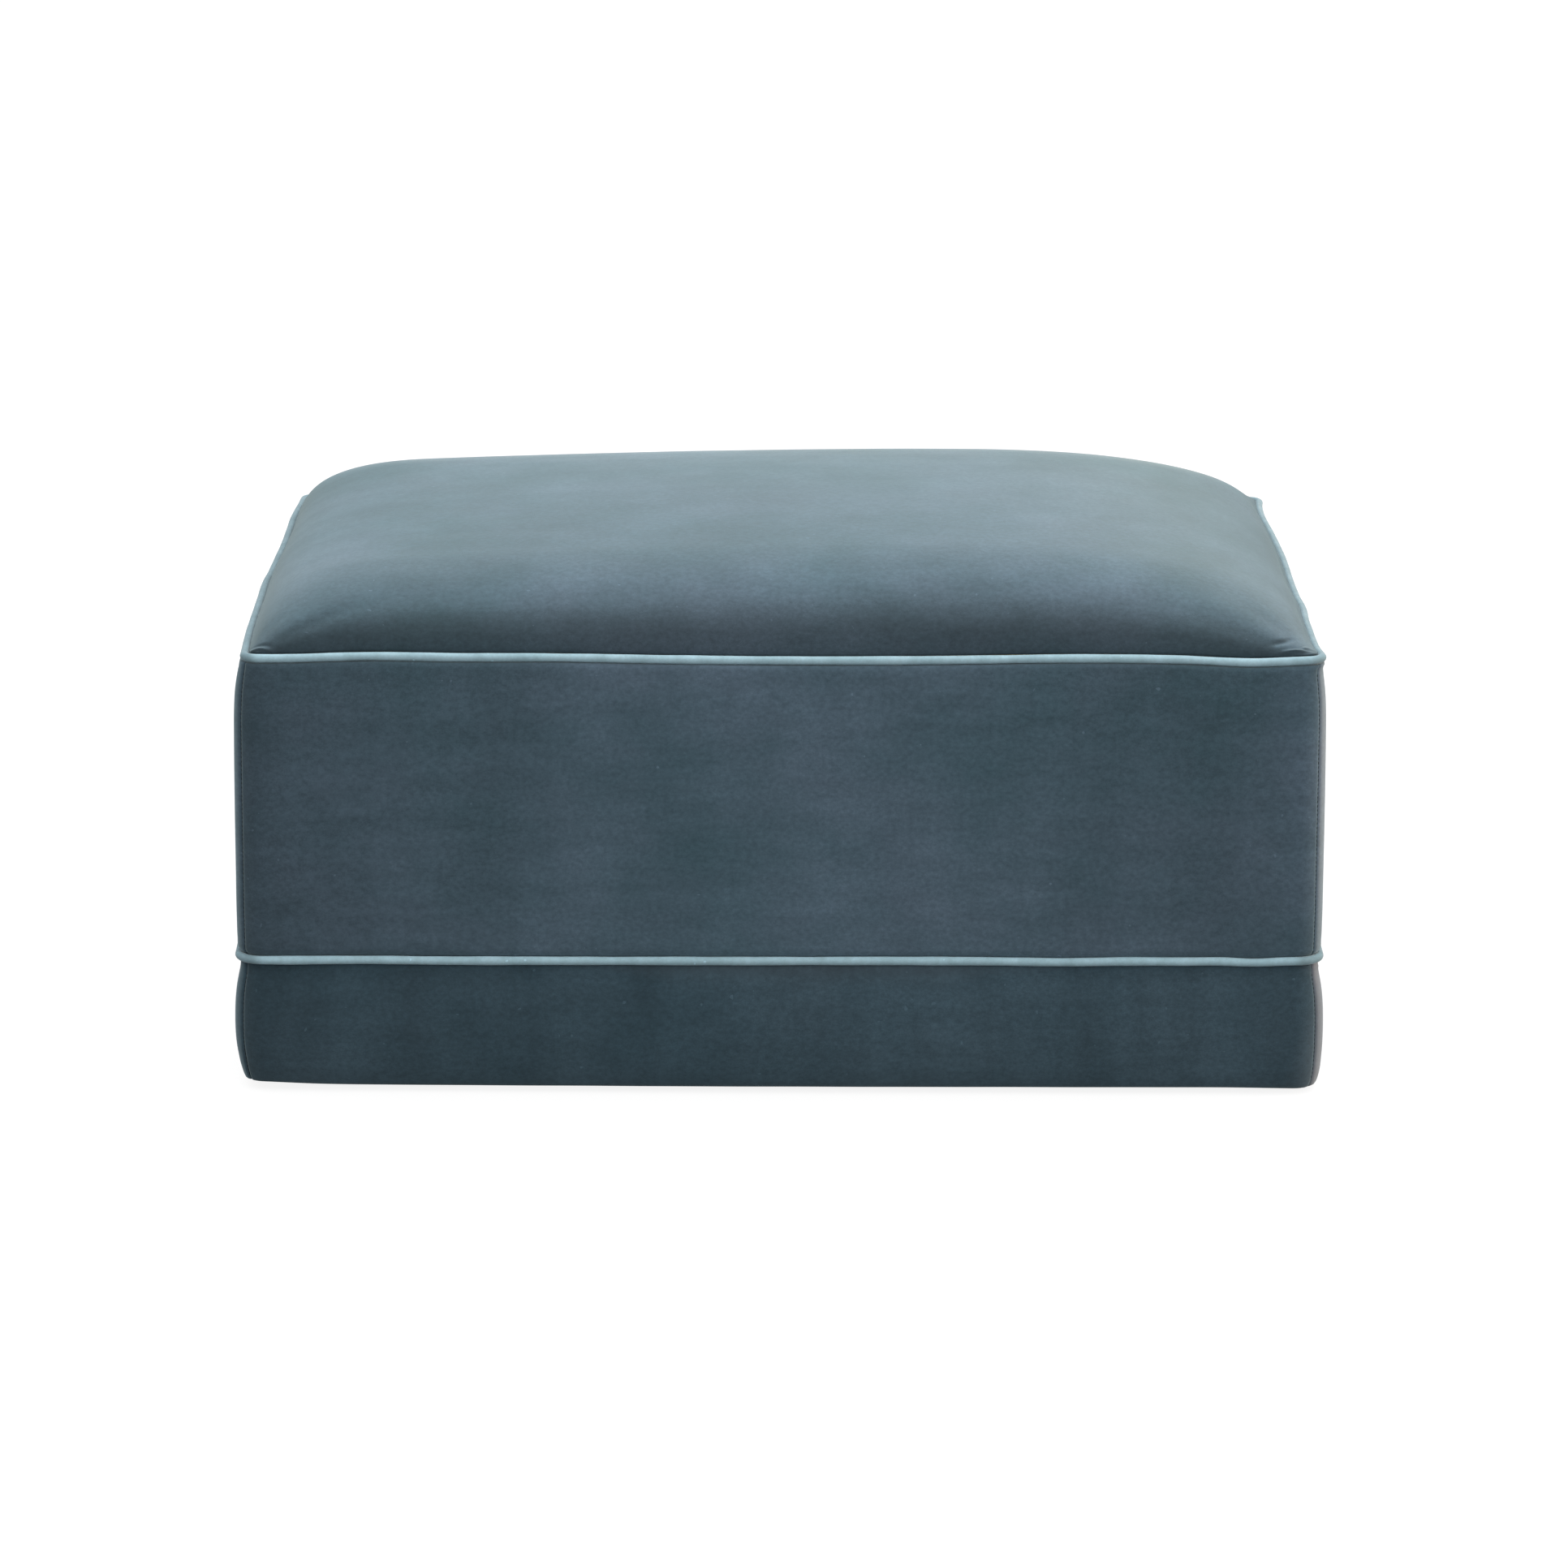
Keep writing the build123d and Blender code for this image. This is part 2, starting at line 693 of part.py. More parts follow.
for corner, (x_sign, y_sign) in corners.items():
    with BuildPart() as glide:
        with Locations((x_sign * post_x, y_sign * post_y, 0)):
            Cylinder(glide_radius, glide_height, align=(Align.CENTER, Align.CENTER, Align.MIN))
        chamfer(glide.faces().sort_by(Axis.Z)[0].edges(), glide_chamfer)
        with Locations(glide_screw_planes[corner]):
            add(glide_screw_pocket, mode=Mode.SUBTRACT)
    finish(glide.part, f"{corner}_glide")

glide_screw = screw(glide_screw_length)
with BuildPart() as glide_screws:
    with Locations(*glide_screw_planes.values()):
        add(glide_screw)
finish(glide_screws.part, "glide_screws")
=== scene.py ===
import json
import math

import bpy
import numpy as np
from mathutils import Matrix, Vector


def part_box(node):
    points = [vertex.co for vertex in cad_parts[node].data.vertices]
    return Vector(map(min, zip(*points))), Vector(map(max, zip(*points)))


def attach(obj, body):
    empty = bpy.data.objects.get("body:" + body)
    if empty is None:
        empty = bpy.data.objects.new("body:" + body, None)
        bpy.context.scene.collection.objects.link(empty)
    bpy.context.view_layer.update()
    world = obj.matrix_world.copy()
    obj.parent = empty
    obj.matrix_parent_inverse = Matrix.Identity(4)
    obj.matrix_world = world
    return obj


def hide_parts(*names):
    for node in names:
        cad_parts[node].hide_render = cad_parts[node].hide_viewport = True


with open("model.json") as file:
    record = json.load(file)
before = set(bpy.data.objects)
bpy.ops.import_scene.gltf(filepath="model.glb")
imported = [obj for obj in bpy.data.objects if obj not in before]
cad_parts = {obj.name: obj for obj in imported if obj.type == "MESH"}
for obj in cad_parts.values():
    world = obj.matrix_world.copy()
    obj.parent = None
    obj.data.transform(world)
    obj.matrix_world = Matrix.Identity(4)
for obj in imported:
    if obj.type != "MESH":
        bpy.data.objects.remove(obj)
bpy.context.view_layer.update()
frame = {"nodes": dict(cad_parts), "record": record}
print("frame loaded with", len(frame["nodes"]), "nodes")


def addObject(name, data):
    added = bpy.data.objects.new(name, data)
    bpy.context.scene.collection.objects.link(added)
    return added


def addMesh(name, points, faces):
    mesh = bpy.data.meshes.new(name)
    mesh.from_pydata(points, [], faces)
    return addObject(name, mesh)


# The camera stands in front, looks down on the top a little and is turned a hair on its own axis
view = {"place": (0.0039, -6.0693, 1.743), "pitch": 14.204, "roll": 0.188, "lens": 142.95, "sensor": 36.0}

camera = addObject("camera", bpy.data.cameras.new("camera"))
camera.data.lens = view["lens"]
camera.data.sensor_width = view["sensor"]
camera.matrix_world = (
    Matrix.Translation(view["place"])
    @ Matrix.Rotation(math.radians(90 - view["pitch"]), 4, "X")
    @ Matrix.Rotation(math.radians(view["roll"]), 4, "Z")
)
bpy.context.scene.camera = camera
bpy.context.scene.view_settings.view_transform = "Standard"
print("camera set")


# A node with its choices set; a value that is a socket is linked, any other is the socket's own
def addNode(tree, kind, values=None, **choices):
    node = tree.nodes.new(kind)
    for choice, value in choices.items():
        setattr(node, choice, value)
    for socket, value in (values or {}).items():
        if isinstance(value, bpy.types.NodeSocket):
            tree.links.new(value, node.inputs[socket])
        else:
            node.inputs[socket].default_value = value
    return node


# The outputs joined to a surface's sockets, each named with underscores for its spaces
def wire(tree, surface, **outputs):
    for socket, output in outputs.items():
        tree.links.new(output, surface.inputs[socket.replace("_", " ")])


def newFinish(name, **values):
    finish = bpy.data.materials.new(name)
    finish.use_nodes = True
    surface = finish.node_tree.nodes["Principled BSDF"]
    for socket, value in values.items():
        surface.inputs[socket.replace("_", " ")].default_value = value
    return finish, finish.node_tree, surface


# Noise on Object coordinates, stretched by the scale in each direction
def noiseOn(tree, scale, detail=2.0, roughness=0.5):
    place = addNode(tree, "ShaderNodeTexCoord").outputs["Object"]
    mapped = addNode(tree, "ShaderNodeMapping", {"Vector": place, "Scale": scale})
    values = {"Vector": mapped.outputs[0], "Scale": 1.0, "Detail": detail, "Roughness": roughness}
    return addNode(tree, "ShaderNodeTexNoise", values).outputs["Fac"]


def rampOf(tree, factor, low, high, toLow=0.0, toHigh=1.0):
    values = {"Value": factor, "From Min": low, "From Max": high, "To Min": toLow, "To Max": toHigh}
    return addNode(tree, "ShaderNodeMapRange", values).outputs["Result"]


def mixOf(tree, factor, first, second, blend="MIX"):
    values = {0: factor, 6: first, 7: second}
    return addNode(tree, "ShaderNodeMix", values, data_type="RGBA", blend_type=blend).outputs[2]


def mathOf(tree, operation, first, second):
    return addNode(tree, "ShaderNodeMath", {0: first, 1: second}, operation=operation).outputs[0]


def bumpOf(tree, height, strength, distance, under=None):
    values = {"Height": height, "Strength": strength, "Distance": distance}
    if under is not None:
        values["Normal"] = under
    return addNode(tree, "ShaderNodeBump", values).outputs["Normal"]


def shade(colour, share):
    return tuple(share * c for c in colour[:3]) + (1.0,)


# What all velvets share; the marks and the pile stand up with this strength and height
grain = {
    "gloss": 0.12,
    "lint": {"scale": (170, 170, 170), "from": 0.858, "to": 0.868, "share": 0.22, "pale": 2.4},
    "marks": (0.1, 0.0012), "pile": (0.3, 0.0004),
}


# Velvet: the pile's tone differs from patch to patch, under pressure marks, streaks, mottle, grain and lint.
# The mesh's own attribute multiplies it: below one it darkens the velvet, partly the pile's own tone and
# partly painted shade; above one it blends towards a pale grey, as painted sheen
def velvetFinish(name, look):
    finish, tree, surface = newFinish(
        name, Roughness=look["roughness"], Sheen_Weight=look["sheen"], Sheen_Roughness=look["sheenRoughness"],
        Sheen_Tint=look["tint"], Specular_IOR_Level=grain["gloss"],
    )
    patch = rampOf(tree, noiseOn(tree, look["patches"], 5.0, 0.62), 0.34, 0.66)
    tone = mixOf(tree, patch, look["deep"], look["light"])
    bright = None
    for kind, detail in (("marks", 3.0), ("streaks", 4.0), ("mottle", 3.0)):
        scale, share = look[kind]
        wave = rampOf(tree, noiseOn(tree, scale, detail, 0.6), 0.3, 0.7, 1 - share, 1 + share)
        bright = wave if bright is None else mathOf(tree, "MULTIPLY", bright, wave)
    laid = mixOf(tree, 1.0, tone, bright, "MULTIPLY")
    scale, share = look["pile"]
    pile = noiseOn(tree, scale, 3.0, 0.65)
    grained = mixOf(tree, rampOf(tree, pile, 0.25, 0.75, 0, share), laid, shade(look["deep"], 0.5))
    speck = grain["lint"]
    lint = rampOf(tree, noiseOn(tree, speck["scale"], 0.0), speck["from"], speck["to"], 0, speck["share"])
    flecked = mixOf(tree, lint, grained, shade(look["light"], speck["pale"]))
    # The mesh's attribute: partly the pile's own tone, partly painted shade below one and painted sheen above
    # one
    toneAndPaintedLight = addNode(tree, "ShaderNodeAttribute", attribute_name="toneAndPaintedLight").outputs["Fac"]
    withPaintedShade = mixOf(tree, 1.0, flecked, toneAndPaintedLight, "MULTIPLY")
    withPaintedSheen = mixOf(tree, rampOf(tree, toneAndPaintedLight, 1.0, 2.0), withPaintedShade, look["paintedSheenGrey"])
    under = bumpOf(tree, bright, *grain["marks"])
    wire(tree, surface, Base_Color=withPaintedSheen, Normal=bumpOf(tree, pile, *grain["pile"], under))
    return finish


# The pale grey of each velvet is painted sheen, blended in where the mesh's attribute is above one
slate = {
    "deep": (0.060, 0.113, 0.142, 1), "light": (0.111, 0.162, 0.215, 1), "roughness": 0.85,
    "sheen": 0.47, "sheenRoughness": 0.5, "tint": (0.70, 0.87, 0.89, 1), "paintedSheenGrey": (0.36, 0.35, 0.36, 1),
    "patches": (3.4, 3.4, 4.6), "marks": ((11, 11, 1.1), 0.1), "streaks": ((12, 12, 60), 0.1),
    "mottle": ((190, 190, 250), 0.17), "pile": ((620, 620, 620), 0.3),
}
# The plinth's velvet: the body's slate made darker for the lower band as painted shade
plinthShadedSlate = {
    **slate, "deep": (0.041, 0.077, 0.101, 1), "light": (0.063, 0.105, 0.136, 1), "sheen": 0.45,
    "tint": (0.72, 0.9, 0.95, 1), "paintedSheenGrey": (0.33, 0.31, 0.33, 1), "patches": (6.0, 6.0, 5.0),
    "marks": ((13, 13, 1.6), 0.16),
}
paleBlue = {
    "deep": (0.36, 0.54, 0.61, 1), "light": (0.42, 0.61, 0.69, 1), "roughness": 0.8,
    "sheen": 0.5, "sheenRoughness": 0.3, "tint": (0.93, 0.98, 1, 1), "paintedSheenGrey": (0.7, 0.7, 0.7, 1),
    "patches": (30, 30, 30), "marks": ((60, 60, 60), 0.06), "streaks": ((110, 110, 110), 0.06),
    "mottle": ((400, 400, 400), 0.05), "pile": ((900, 900, 900), 0.1),
}
bodyVelvet = velvetFinish("slateVelvet", slate)
# The plinth's velvet is the body's, darkened as painted shade
plinthVelvet = velvetFinish("slateVelvetPaintedShade", plinthShadedSlate)
pipingVelvet = velvetFinish("paleBlueVelvet", paleBlue)


def plainFabric(name, colour, scale, depth, roughness=0.95):
    finish, tree, surface = newFinish(name, Roughness=roughness)
    fibre = noiseOn(tree, scale, 5.0, 0.7)
    tone = mixOf(tree, rampOf(tree, fibre, 0.3, 0.7), shade(colour, 0.72), shade(colour, 1.12))
    wire(tree, surface, Base_Color=tone, Normal=bumpOf(tree, fibre, 0.6, depth))
    return finish


foamFinish = plainFabric("yellowedFoam", (0.72, 0.62, 0.36), (420, 420, 420), 0.0008)
feltFinish = plainFabric("greyFelt", (0.16, 0.155, 0.15), (260, 260, 900), 0.0006)
dustFinish = plainFabric("blackSpunbond", (0.018, 0.018, 0.02), (900, 900, 300), 0.0002)
cordFinish = plainFabric("cottonCord", (0.62, 0.58, 0.48), (700, 700, 700), 0.0003)
threadFinish = plainFabric("slateThread", (0.016, 0.024, 0.03), (2500, 2500, 2500), 0.0001)
print("fabrics mixed")


# Wood: growth rings stretched along the grain, with fine pores
def woodFinish(name, light, dark, along):
    finish, tree, surface = newFinish(name, Roughness=0.62)
    scale = [38.0, 38.0, 38.0]
    scale[along] = 1.6
    fine = [900.0, 900.0, 900.0]
    fine[along] = 22.0
    ring = rampOf(tree, noiseOn(tree, scale, 4.0, 0.62), 0.32, 0.68)
    pore = noiseOn(tree, fine, 2.0, 0.5)
    board = mixOf(tree, ring, light, dark)
    porous = mixOf(tree, rampOf(tree, pore, 0.5, 0.75, 0, 0.3), board, shade(dark, 0.6))
    wire(tree, surface, Base_Color=porous, Normal=bumpOf(tree, pore, 0.3, 0.0003))
    return finish


def metalFinish(name, colour, roughness, spots):
    finish, tree, surface = newFinish(name, Metallic=1.0)
    cloud = noiseOn(tree, (spots, spots, spots), 3.0)
    tone = mixOf(tree, rampOf(tree, cloud, 0.3, 0.7), shade(colour, 0.82), shade(colour, 1.05))
    rough = rampOf(tree, cloud, 0.3, 0.7, roughness, roughness + 0.18)
    wire(tree, surface, Base_Color=tone, Roughness=rough)
    return finish


paleWood, darkGrain = (0.62, 0.44, 0.25, 1), (0.44, 0.28, 0.14, 1)
woodAlong = [woodFinish("pineAlong" + axis, paleWood, darkGrain, place) for place, axis in enumerate("XYZ")]

# The hard pieces keep their solids: the grain runs along each board, and the rest take their slot's finish
plainFinishes = {
    "hardboard": plainFabric("brownHardboard", (0.23, 0.13, 0.065), (300, 300, 300), 0.0002, 0.7),
    "spring_steel": metalFinish("oiledSpringSteel", (0.28, 0.28, 0.29), 0.32, 60),
    "zinc_steel": metalFinish("zincPlate", (0.72, 0.74, 0.78), 0.28, 110),
    "glide_plastic": plainFabric("blackNylon", (0.012, 0.012, 0.013), (500, 500, 500), 0.00005, 0.38),
}
for part in frame["record"]["subparts"]:
    node, slot = frame["nodes"][part["node"]], part["material_slot"]
    if slot == "frame_wood":
        lowest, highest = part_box(part["node"])
        finish = woodAlong[int(np.argmax(highest - lowest))]
    elif slot in plainFinishes:
        finish = plainFinishes[slot]
    else:
        continue
    node.data.materials.clear()
    node.data.materials.append(finish)
print("hard pieces finished")


# Where a run of points stands from -1 to 1, closest together at both ends
def endSpaced(count, power):
    steady = np.linspace(-1, 1, count)
    return np.sign(steady) * (1 - (1 - np.abs(steady)) ** power)


def softStep(share):
    share = np.clip(share, 0, 1)
    return share * share * (3 - 2 * share)


# A bell curve: one at no distance and near nothing beyond twice the reach
def bell(distance, reach):
    return np.exp(-((distance / reach) ** 2))


def unit(vectors):
    return vectors / np.linalg.norm(vectors, axis=-1, keepdims=True)


# A grid of places over a rectangle about the middle, closest together at its edges
def edgeSpacedGrid(halves, piece, powers):
    across = halves[0] * endSpaced(piece["columns"], powers[0])
    return np.meshgrid(across, halves[1] * endSpaced(piece["rows"], powers[1]), indexing="ij")


# Values carried smoothly between knots: cubic pieces that keep at each knot the slope between its neighbours
def smoothAlong(values, knots, at):
    slope = np.gradient(values, knots, axis=0)
    piece = np.clip(np.searchsorted(knots, at, side="right") - 1, 0, len(knots) - 2)
    run = (-1,) + (1,) * (values.ndim - 1)
    step = (knots[piece + 1] - knots[piece]).reshape(run)
    t = (at - knots[piece]).reshape(run) / step
    return (
        (2 * t**3 - 3 * t**2 + 1) * values[piece]
        + (t**3 - 2 * t**2 + t) * step * slope[piece]
        + (3 * t**2 - 2 * t**3) * values[piece + 1]
        + (t**3 - t**2) * step * slope[piece + 1]
    )


# How far along a line each of its points lies
def lengthsAlong(points):
    return np.concatenate([[0], np.cumsum(np.linalg.norm(np.diff(points, axis=0), axis=1))])


# A smooth line through points, read at shares of its length
def smoothLine(points, shares):
    points = np.asarray(points, float)
    reach = lengthsAlong(points)
    return smoothAlong(points, reach, shares * reach[-1])


# Unit normals of a grid: the cross product of its two directions
def gridNormals(points, closedRound=False):
    if closedRound:
        padded = np.concatenate([points[-1:], points, points[:1]])
        along = (padded[2:] - padded[:-2]) / 2
    else:
        along = np.gradient(points, axis=0)
    normal = np.cross(along, np.gradient(points, axis=1))
    return normal / np.maximum(np.linalg.norm(normal, axis=-1, keepdims=True), 1e-12)


# The quads of a grid, anticlockwise where its first index runs right and its second up
def gridQuads(columns, rows, closedRound=False, closedUp=False):
    i, j = np.meshgrid(np.arange(columns - (not closedRound)), np.arange(rows - (not closedUp)), indexing="ij")
    right, up = (i + 1) % columns, (j + 1) % rows
    quads = np.stack([i * rows + j, right * rows + j, right * rows + up, i * rows + up], axis=-1)
    return quads.reshape(-1, 4)


# The edges round a grid's open sides, each a pair of indices in the order in which its quads use them
def openEdges(columns, rows, closedRound):
    across, up = np.arange(columns), np.arange(rows)
    if closedRound:
        low = np.stack([across, np.roll(across, -1)], axis=1) * rows
        return np.concatenate([low, low[:, ::-1] + rows - 1])
    border = np.concatenate([
        across * rows,
        (columns - 1) * rows + up[1:],
        across[-2::-1] * rows + rows - 1,
        up[-2:0:-1],
    ])
    return np.stack([border, np.roll(border, -1)], axis=1)


def addPiece(name, points, faces, finish, replaced=(), toneAndPaintedLight=None):
    piece = addMesh(name, points.tolist(), faces)
    mesh = piece.data
    mesh.polygons.foreach_set("use_smooth", np.ones(len(faces), bool))
    mesh.materials.append(finish)
    if toneAndPaintedLight is not None:
        mesh.attributes.new("toneAndPaintedLight", "FLOAT", "POINT").data.foreach_set("value", toneAndPaintedLight.astype(np.float32))
    mesh.update()
    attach(piece, "root")
    if replaced:
        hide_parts(*replaced)
    return piece


# A closed shell: the outer grid, the inner grid turned about, and a strip along every open edge between them
def addShell(name, outer, inner, finish, replaced=(), closedRound=False, toneAndPaintedLight=None):
    columns, rows = outer.shape[:2]
    quads = gridQuads(columns, rows, closedRound)
    edges = openEdges(columns, rows, closedRound)
    inside = columns * rows
    strip = np.stack([edges[:, 1], edges[:, 0], edges[:, 0] + inside, edges[:, 1] + inside], axis=1)
    faces = np.concatenate([quads, quads[:, ::-1] + inside, strip])
    points = np.concatenate([outer.reshape(-1, 3), inner.reshape(-1, 3)])
    if toneAndPaintedLight is not None:
        toneAndPaintedLight = np.tile(toneAndPaintedLight.reshape(-1), 2)
    return addPiece(name, points, faces.tolist(), finish, replaced, toneAndPaintedLight)


# The plan: a rectangle with its corners' centres at these places, bowed a little along each side
plan = {
    "halfWidth": 0.4904, "halfDepth": 0.3604, "corner": 0.0066,
    "bow": {"front": 0.0035, "right": 0.0015, "back": 0.0035, "left": 0.0035},
    "seamTurn": math.radians(45),
}
sides = ("front", "right", "back", "left")
turnOut = {"front": (0, -1), "right": (1, 0), "back": (0, 1), "left": (-1, 0)}


# One side's columns from seam to seam, closest together at the seams: the place along the flat and the turn
# round each corner
def sideColumns(side, cornerCount, flatCounts, power=1.35, slip=0.0):
    lengthwise = side in ("front", "back")
    half, flatCount = (plan["halfWidth"], flatCounts[0]) if lengthwise else (plan["halfDepth"], flatCounts[1])
    corner = (plan["seamTurn"] - slip) * (1 - np.linspace(0, 1, cornerCount, endpoint=False) ** 1.6)
    flat = half * endSpaced(flatCount, power)
    along = np.concatenate([np.full(cornerCount, -half), flat, np.full(cornerCount, half)])
    turn = np.concatenate([-corner, np.zeros(flatCount), corner[::-1]])
    return along, turn, half


# A profile of (level, outset) rows carried along a side: each column stands out by corner + outset, turned
# round the corner's centre, and bows out by one less the square of the place along. A bell curve grooves the
# seams, and a flat wall is mitred
def sideGrid(side, columns, profile, groove=0.0, grooveWidth=0.002, flatWall=False):
    along, turn, half = columns
    level, outset = np.asarray(profile)[:, 0], np.asarray(profile)[:, 1]
    reach = plan["corner"] + outset[None, :] + 0 * along[:, None]
    if flatWall:
        reach = reach / np.cos(turn)[:, None]
    toTurn = plan["seamTurn"] - np.abs(turn)
    fromSeam = np.maximum(reach, 0) * toTurn[:, None] + (half - np.abs(along))[:, None]
    reach = reach - groove * bell(fromSeam, grooveWidth) * (reach > groove)
    inwards, outwards = np.minimum(reach, 0), np.maximum(reach, 0)
    depth = plan["halfDepth"] if side in ("front", "back") else plan["halfWidth"]
    bow = (0 if flatWall else plan["bow"][side]) * (1 - (along / half) ** 2)
    u = along[:, None] * (1 + inwards / half) + outwards * np.sin(turn)[:, None]
    v = depth + inwards + outwards * np.cos(turn)[:, None] + bow[:, None]
    outX, outY = turnOut[side]
    x, y = outX * v - outY * u, outY * v + outX * u
    return np.stack([x, y, level[None, :] + 0 * u], axis=-1), fromSeam


# The whole way round: the four sides one after another, each without its last column
def roundGrid(profile, cornerCount, flatCounts, power=1.35):
    return np.concatenate([
        sideGrid(side, sideColumns(side, cornerCount, flatCounts, power), profile)[0][:-1] for side in sides
    ])


# How the two welts rise and fall along the front and sway along the upper sides, as (place, metres) from the
# straight; elsewhere a sum of slow waves takes over
seams = {
    **{name: sum(corner.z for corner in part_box(name + "_welt")) / 2 for name in ("upper", "lower")},
    "upperFront": [
        (-0.54, -0.0010), (-0.473, -0.0013), (-0.385, 0.0015), (-0.307, 0.0008), (-0.213, 0.0011),
        (-0.096, -0.0004), (0.02, -0.0009), (0.148, -0.0002), (0.187, 0.0004), (0.278, 0.0017),
        (0.382, 0.0005), (0.444, -0.0021), (0.497, 0.0001), (0.54, 0.0012),
    ],
    "lowerFront": [
        (-0.54, -0.0008), (-0.489, -0.0010), (-0.383, 0.0), (-0.32, -0.0003), (-0.236, 0.0), (-0.05, 0.0006),
        (0.208, 0.0009), (0.271, 0.0002), (0.334, 0.0011), (0.387, 0.0009), (0.418, 0.0011), (0.45, -0.0001),
        (0.482, 0.0011), (0.54, 0.0011),
    ],
    "leftSway": [
        (-0.42, -0.0004), (-0.36, -0.0002), (-0.286, 0.0004), (-0.23, 0.0003), (-0.172, 0.0001),
        (-0.114, 0.0003), (-0.055, 0.0007), (0.006, -0.0007), (0.067, -0.0019), (0.13, -0.0029),
        (0.194, -0.0020), (0.26, -0.0013), (0.34, -0.0026), (0.42, -0.0026),
    ],
    "rightSway": [
        (-0.42, 0.0004), (-0.36, 0.0002), (-0.27, -0.0012), (-0.215, -0.0016), (-0.157, -0.0002),
        (-0.099, -0.0024), (-0.039, -0.0028), (0.021, -0.0020), (0.083, -0.0022), (0.146, -0.0034),
        (0.21, -0.0048), (0.276, -0.0074), (0.34, -0.0056), (0.385, -0.0016), (0.42, -0.0010),
    ],
    "ear": {"at": (0.5, -0.37), "reach": 0.0032, "size": 0.03, "height": 0.011, "above": 0.002},
    "standOut": {"left": 0.0015, "right": 0.0036, "height": 0.0068},
    "frontFrom": 0.3, "frontFade": 0.06, "sideFrom": 0.42, "sideFade": 0.07, "riseFade": 0.03,
    "swayFade": 0.045, "upperSlow": 0.0006, "lowerSlow": 0.0004,
}
tables = {
    name: smoothLine(seams[name], np.linspace(0, 1, 240))
    for name in ("upperFront", "lowerFront", "leftSway", "rightSway")
}


def readTable(name, place):
    return np.interp(place, tables[name][:, 0], tables[name][:, 1])


# Near each seam a point rises and sways with it, less with its distance from the seam, by a bell curve. The
# upper seam also stands out at both sides, and its front right corner a little more as an ear
def settle(points):
    x, y, z = np.moveaxis(points, -1, 0)
    front = softStep((-y - seams["frontFrom"]) / seams["frontFade"])
    slow = np.sin(19 * x + 13 * y + 1.1) + 0.6 * np.sin(31 * x - 37 * y + 2.3)
    toUpper, toLower = z - seams["upper"], z - seams["lower"]
    upperRise = front * readTable("upperFront", x) + (1 - front) * seams["upperSlow"] * slow
    lowerRise = front * readTable("lowerFront", x) + (1 - front) * seams["lowerSlow"] * slow
    rise = bell(toUpper, seams["riseFade"]) * upperRise + bell(toLower, seams["riseFade"]) * lowerRise
    side = softStep((np.abs(x) - seams["sideFrom"]) / seams["sideFade"])
    sway = np.where(x < 0, -readTable("leftSway", y), readTable("rightSway", y))
    sway = side * sway * bell(toUpper, seams["swayFade"])
    stand = seams["standOut"]
    out = side * np.where(x < 0, -stand["left"], stand["right"])
    out = out * np.exp(-((toUpper / stand["height"]) ** 4))
    ear = seams["ear"]
    corner = np.exp(-(((x - ear["at"][0]) ** 2 + (y - ear["at"][1]) ** 2) / ear["size"] ** 2))
    corner = corner * bell(toUpper - ear["above"], ear["height"])
    return points + np.stack([sway + out + ear["reach"] * corner, 0 * x, rise], axis=-1)


# A slight unevenness of filled cloth: a sum of slow waves over the surface, up to about its size
def unevenness(points, size):
    x, y, z = np.moveaxis(points, -1, 0)
    flow = x + 0.83 * y
    return size * (
        0.45 * np.sin(14 * flow + 3.1 * z + 0.4)
        + 0.3 * np.sin(33 * flow - 9 * z + 2.2)
        + 0.25 * np.sin(61 * flow + 17 * z + 4.0)
    )


# The covers reach about this far out, are full where they stand out by fullFrom, and lie flat near a seam
covers = {
    "halfWidth": 0.51, "halfDepth": 0.38, "thickness": 0.0016, "gap": 0.0004, "seamGroove": 0.0016,
    "grooveWidth": 0.0016, "fullFrom": 0.017, "seamHold": 0.02, "cornerColumns": 13, "flatColumns": (250, 180),
}

# The border between the two welts: its lips as (height from their seam, outset), its bulge as (share of the
# height between the seams, outset)
border = {
    "lowLip": [(0.0006, 0.0010), (0.0006, 0.0110), (0.0013, 0.0131), (0.0030, 0.0135), (0.0046, 0.0158)],
    "bulge": [
        (0.027, 0.0179), (0.055, 0.0185), (0.12, 0.0189), (0.3, 0.0190), (0.5, 0.0190), (0.72, 0.0186),
        (0.82, 0.0181), (0.885, 0.0169), (0.938, 0.01465), (0.962, 0.0132), (0.98, 0.0114),
    ],
    "highLip": [
        (-0.0045, 0.0100), (-0.0043, 0.0078), (-0.0043, 0.0052), (-0.0033, 0.0026), (-0.0013, 0.0012),
        (-0.0006, -0.0004), (-0.0006, -0.0104),
    ],
    # The border is darkened as painted shade at the foot of its ends and just under the upper welt
    "rows": 108, "unevenness": 0.0007, "footPaintedLight": 0.16, "headPaintedLight": 0.15,
    "low": seams["lower"], "high": seams["upper"], "node": "_border", "finish": bodyVelvet,
    "flat": {"long": (1.062, 0.326), "short": (0.802, 0.326)},
}
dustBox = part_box("dust_cover")

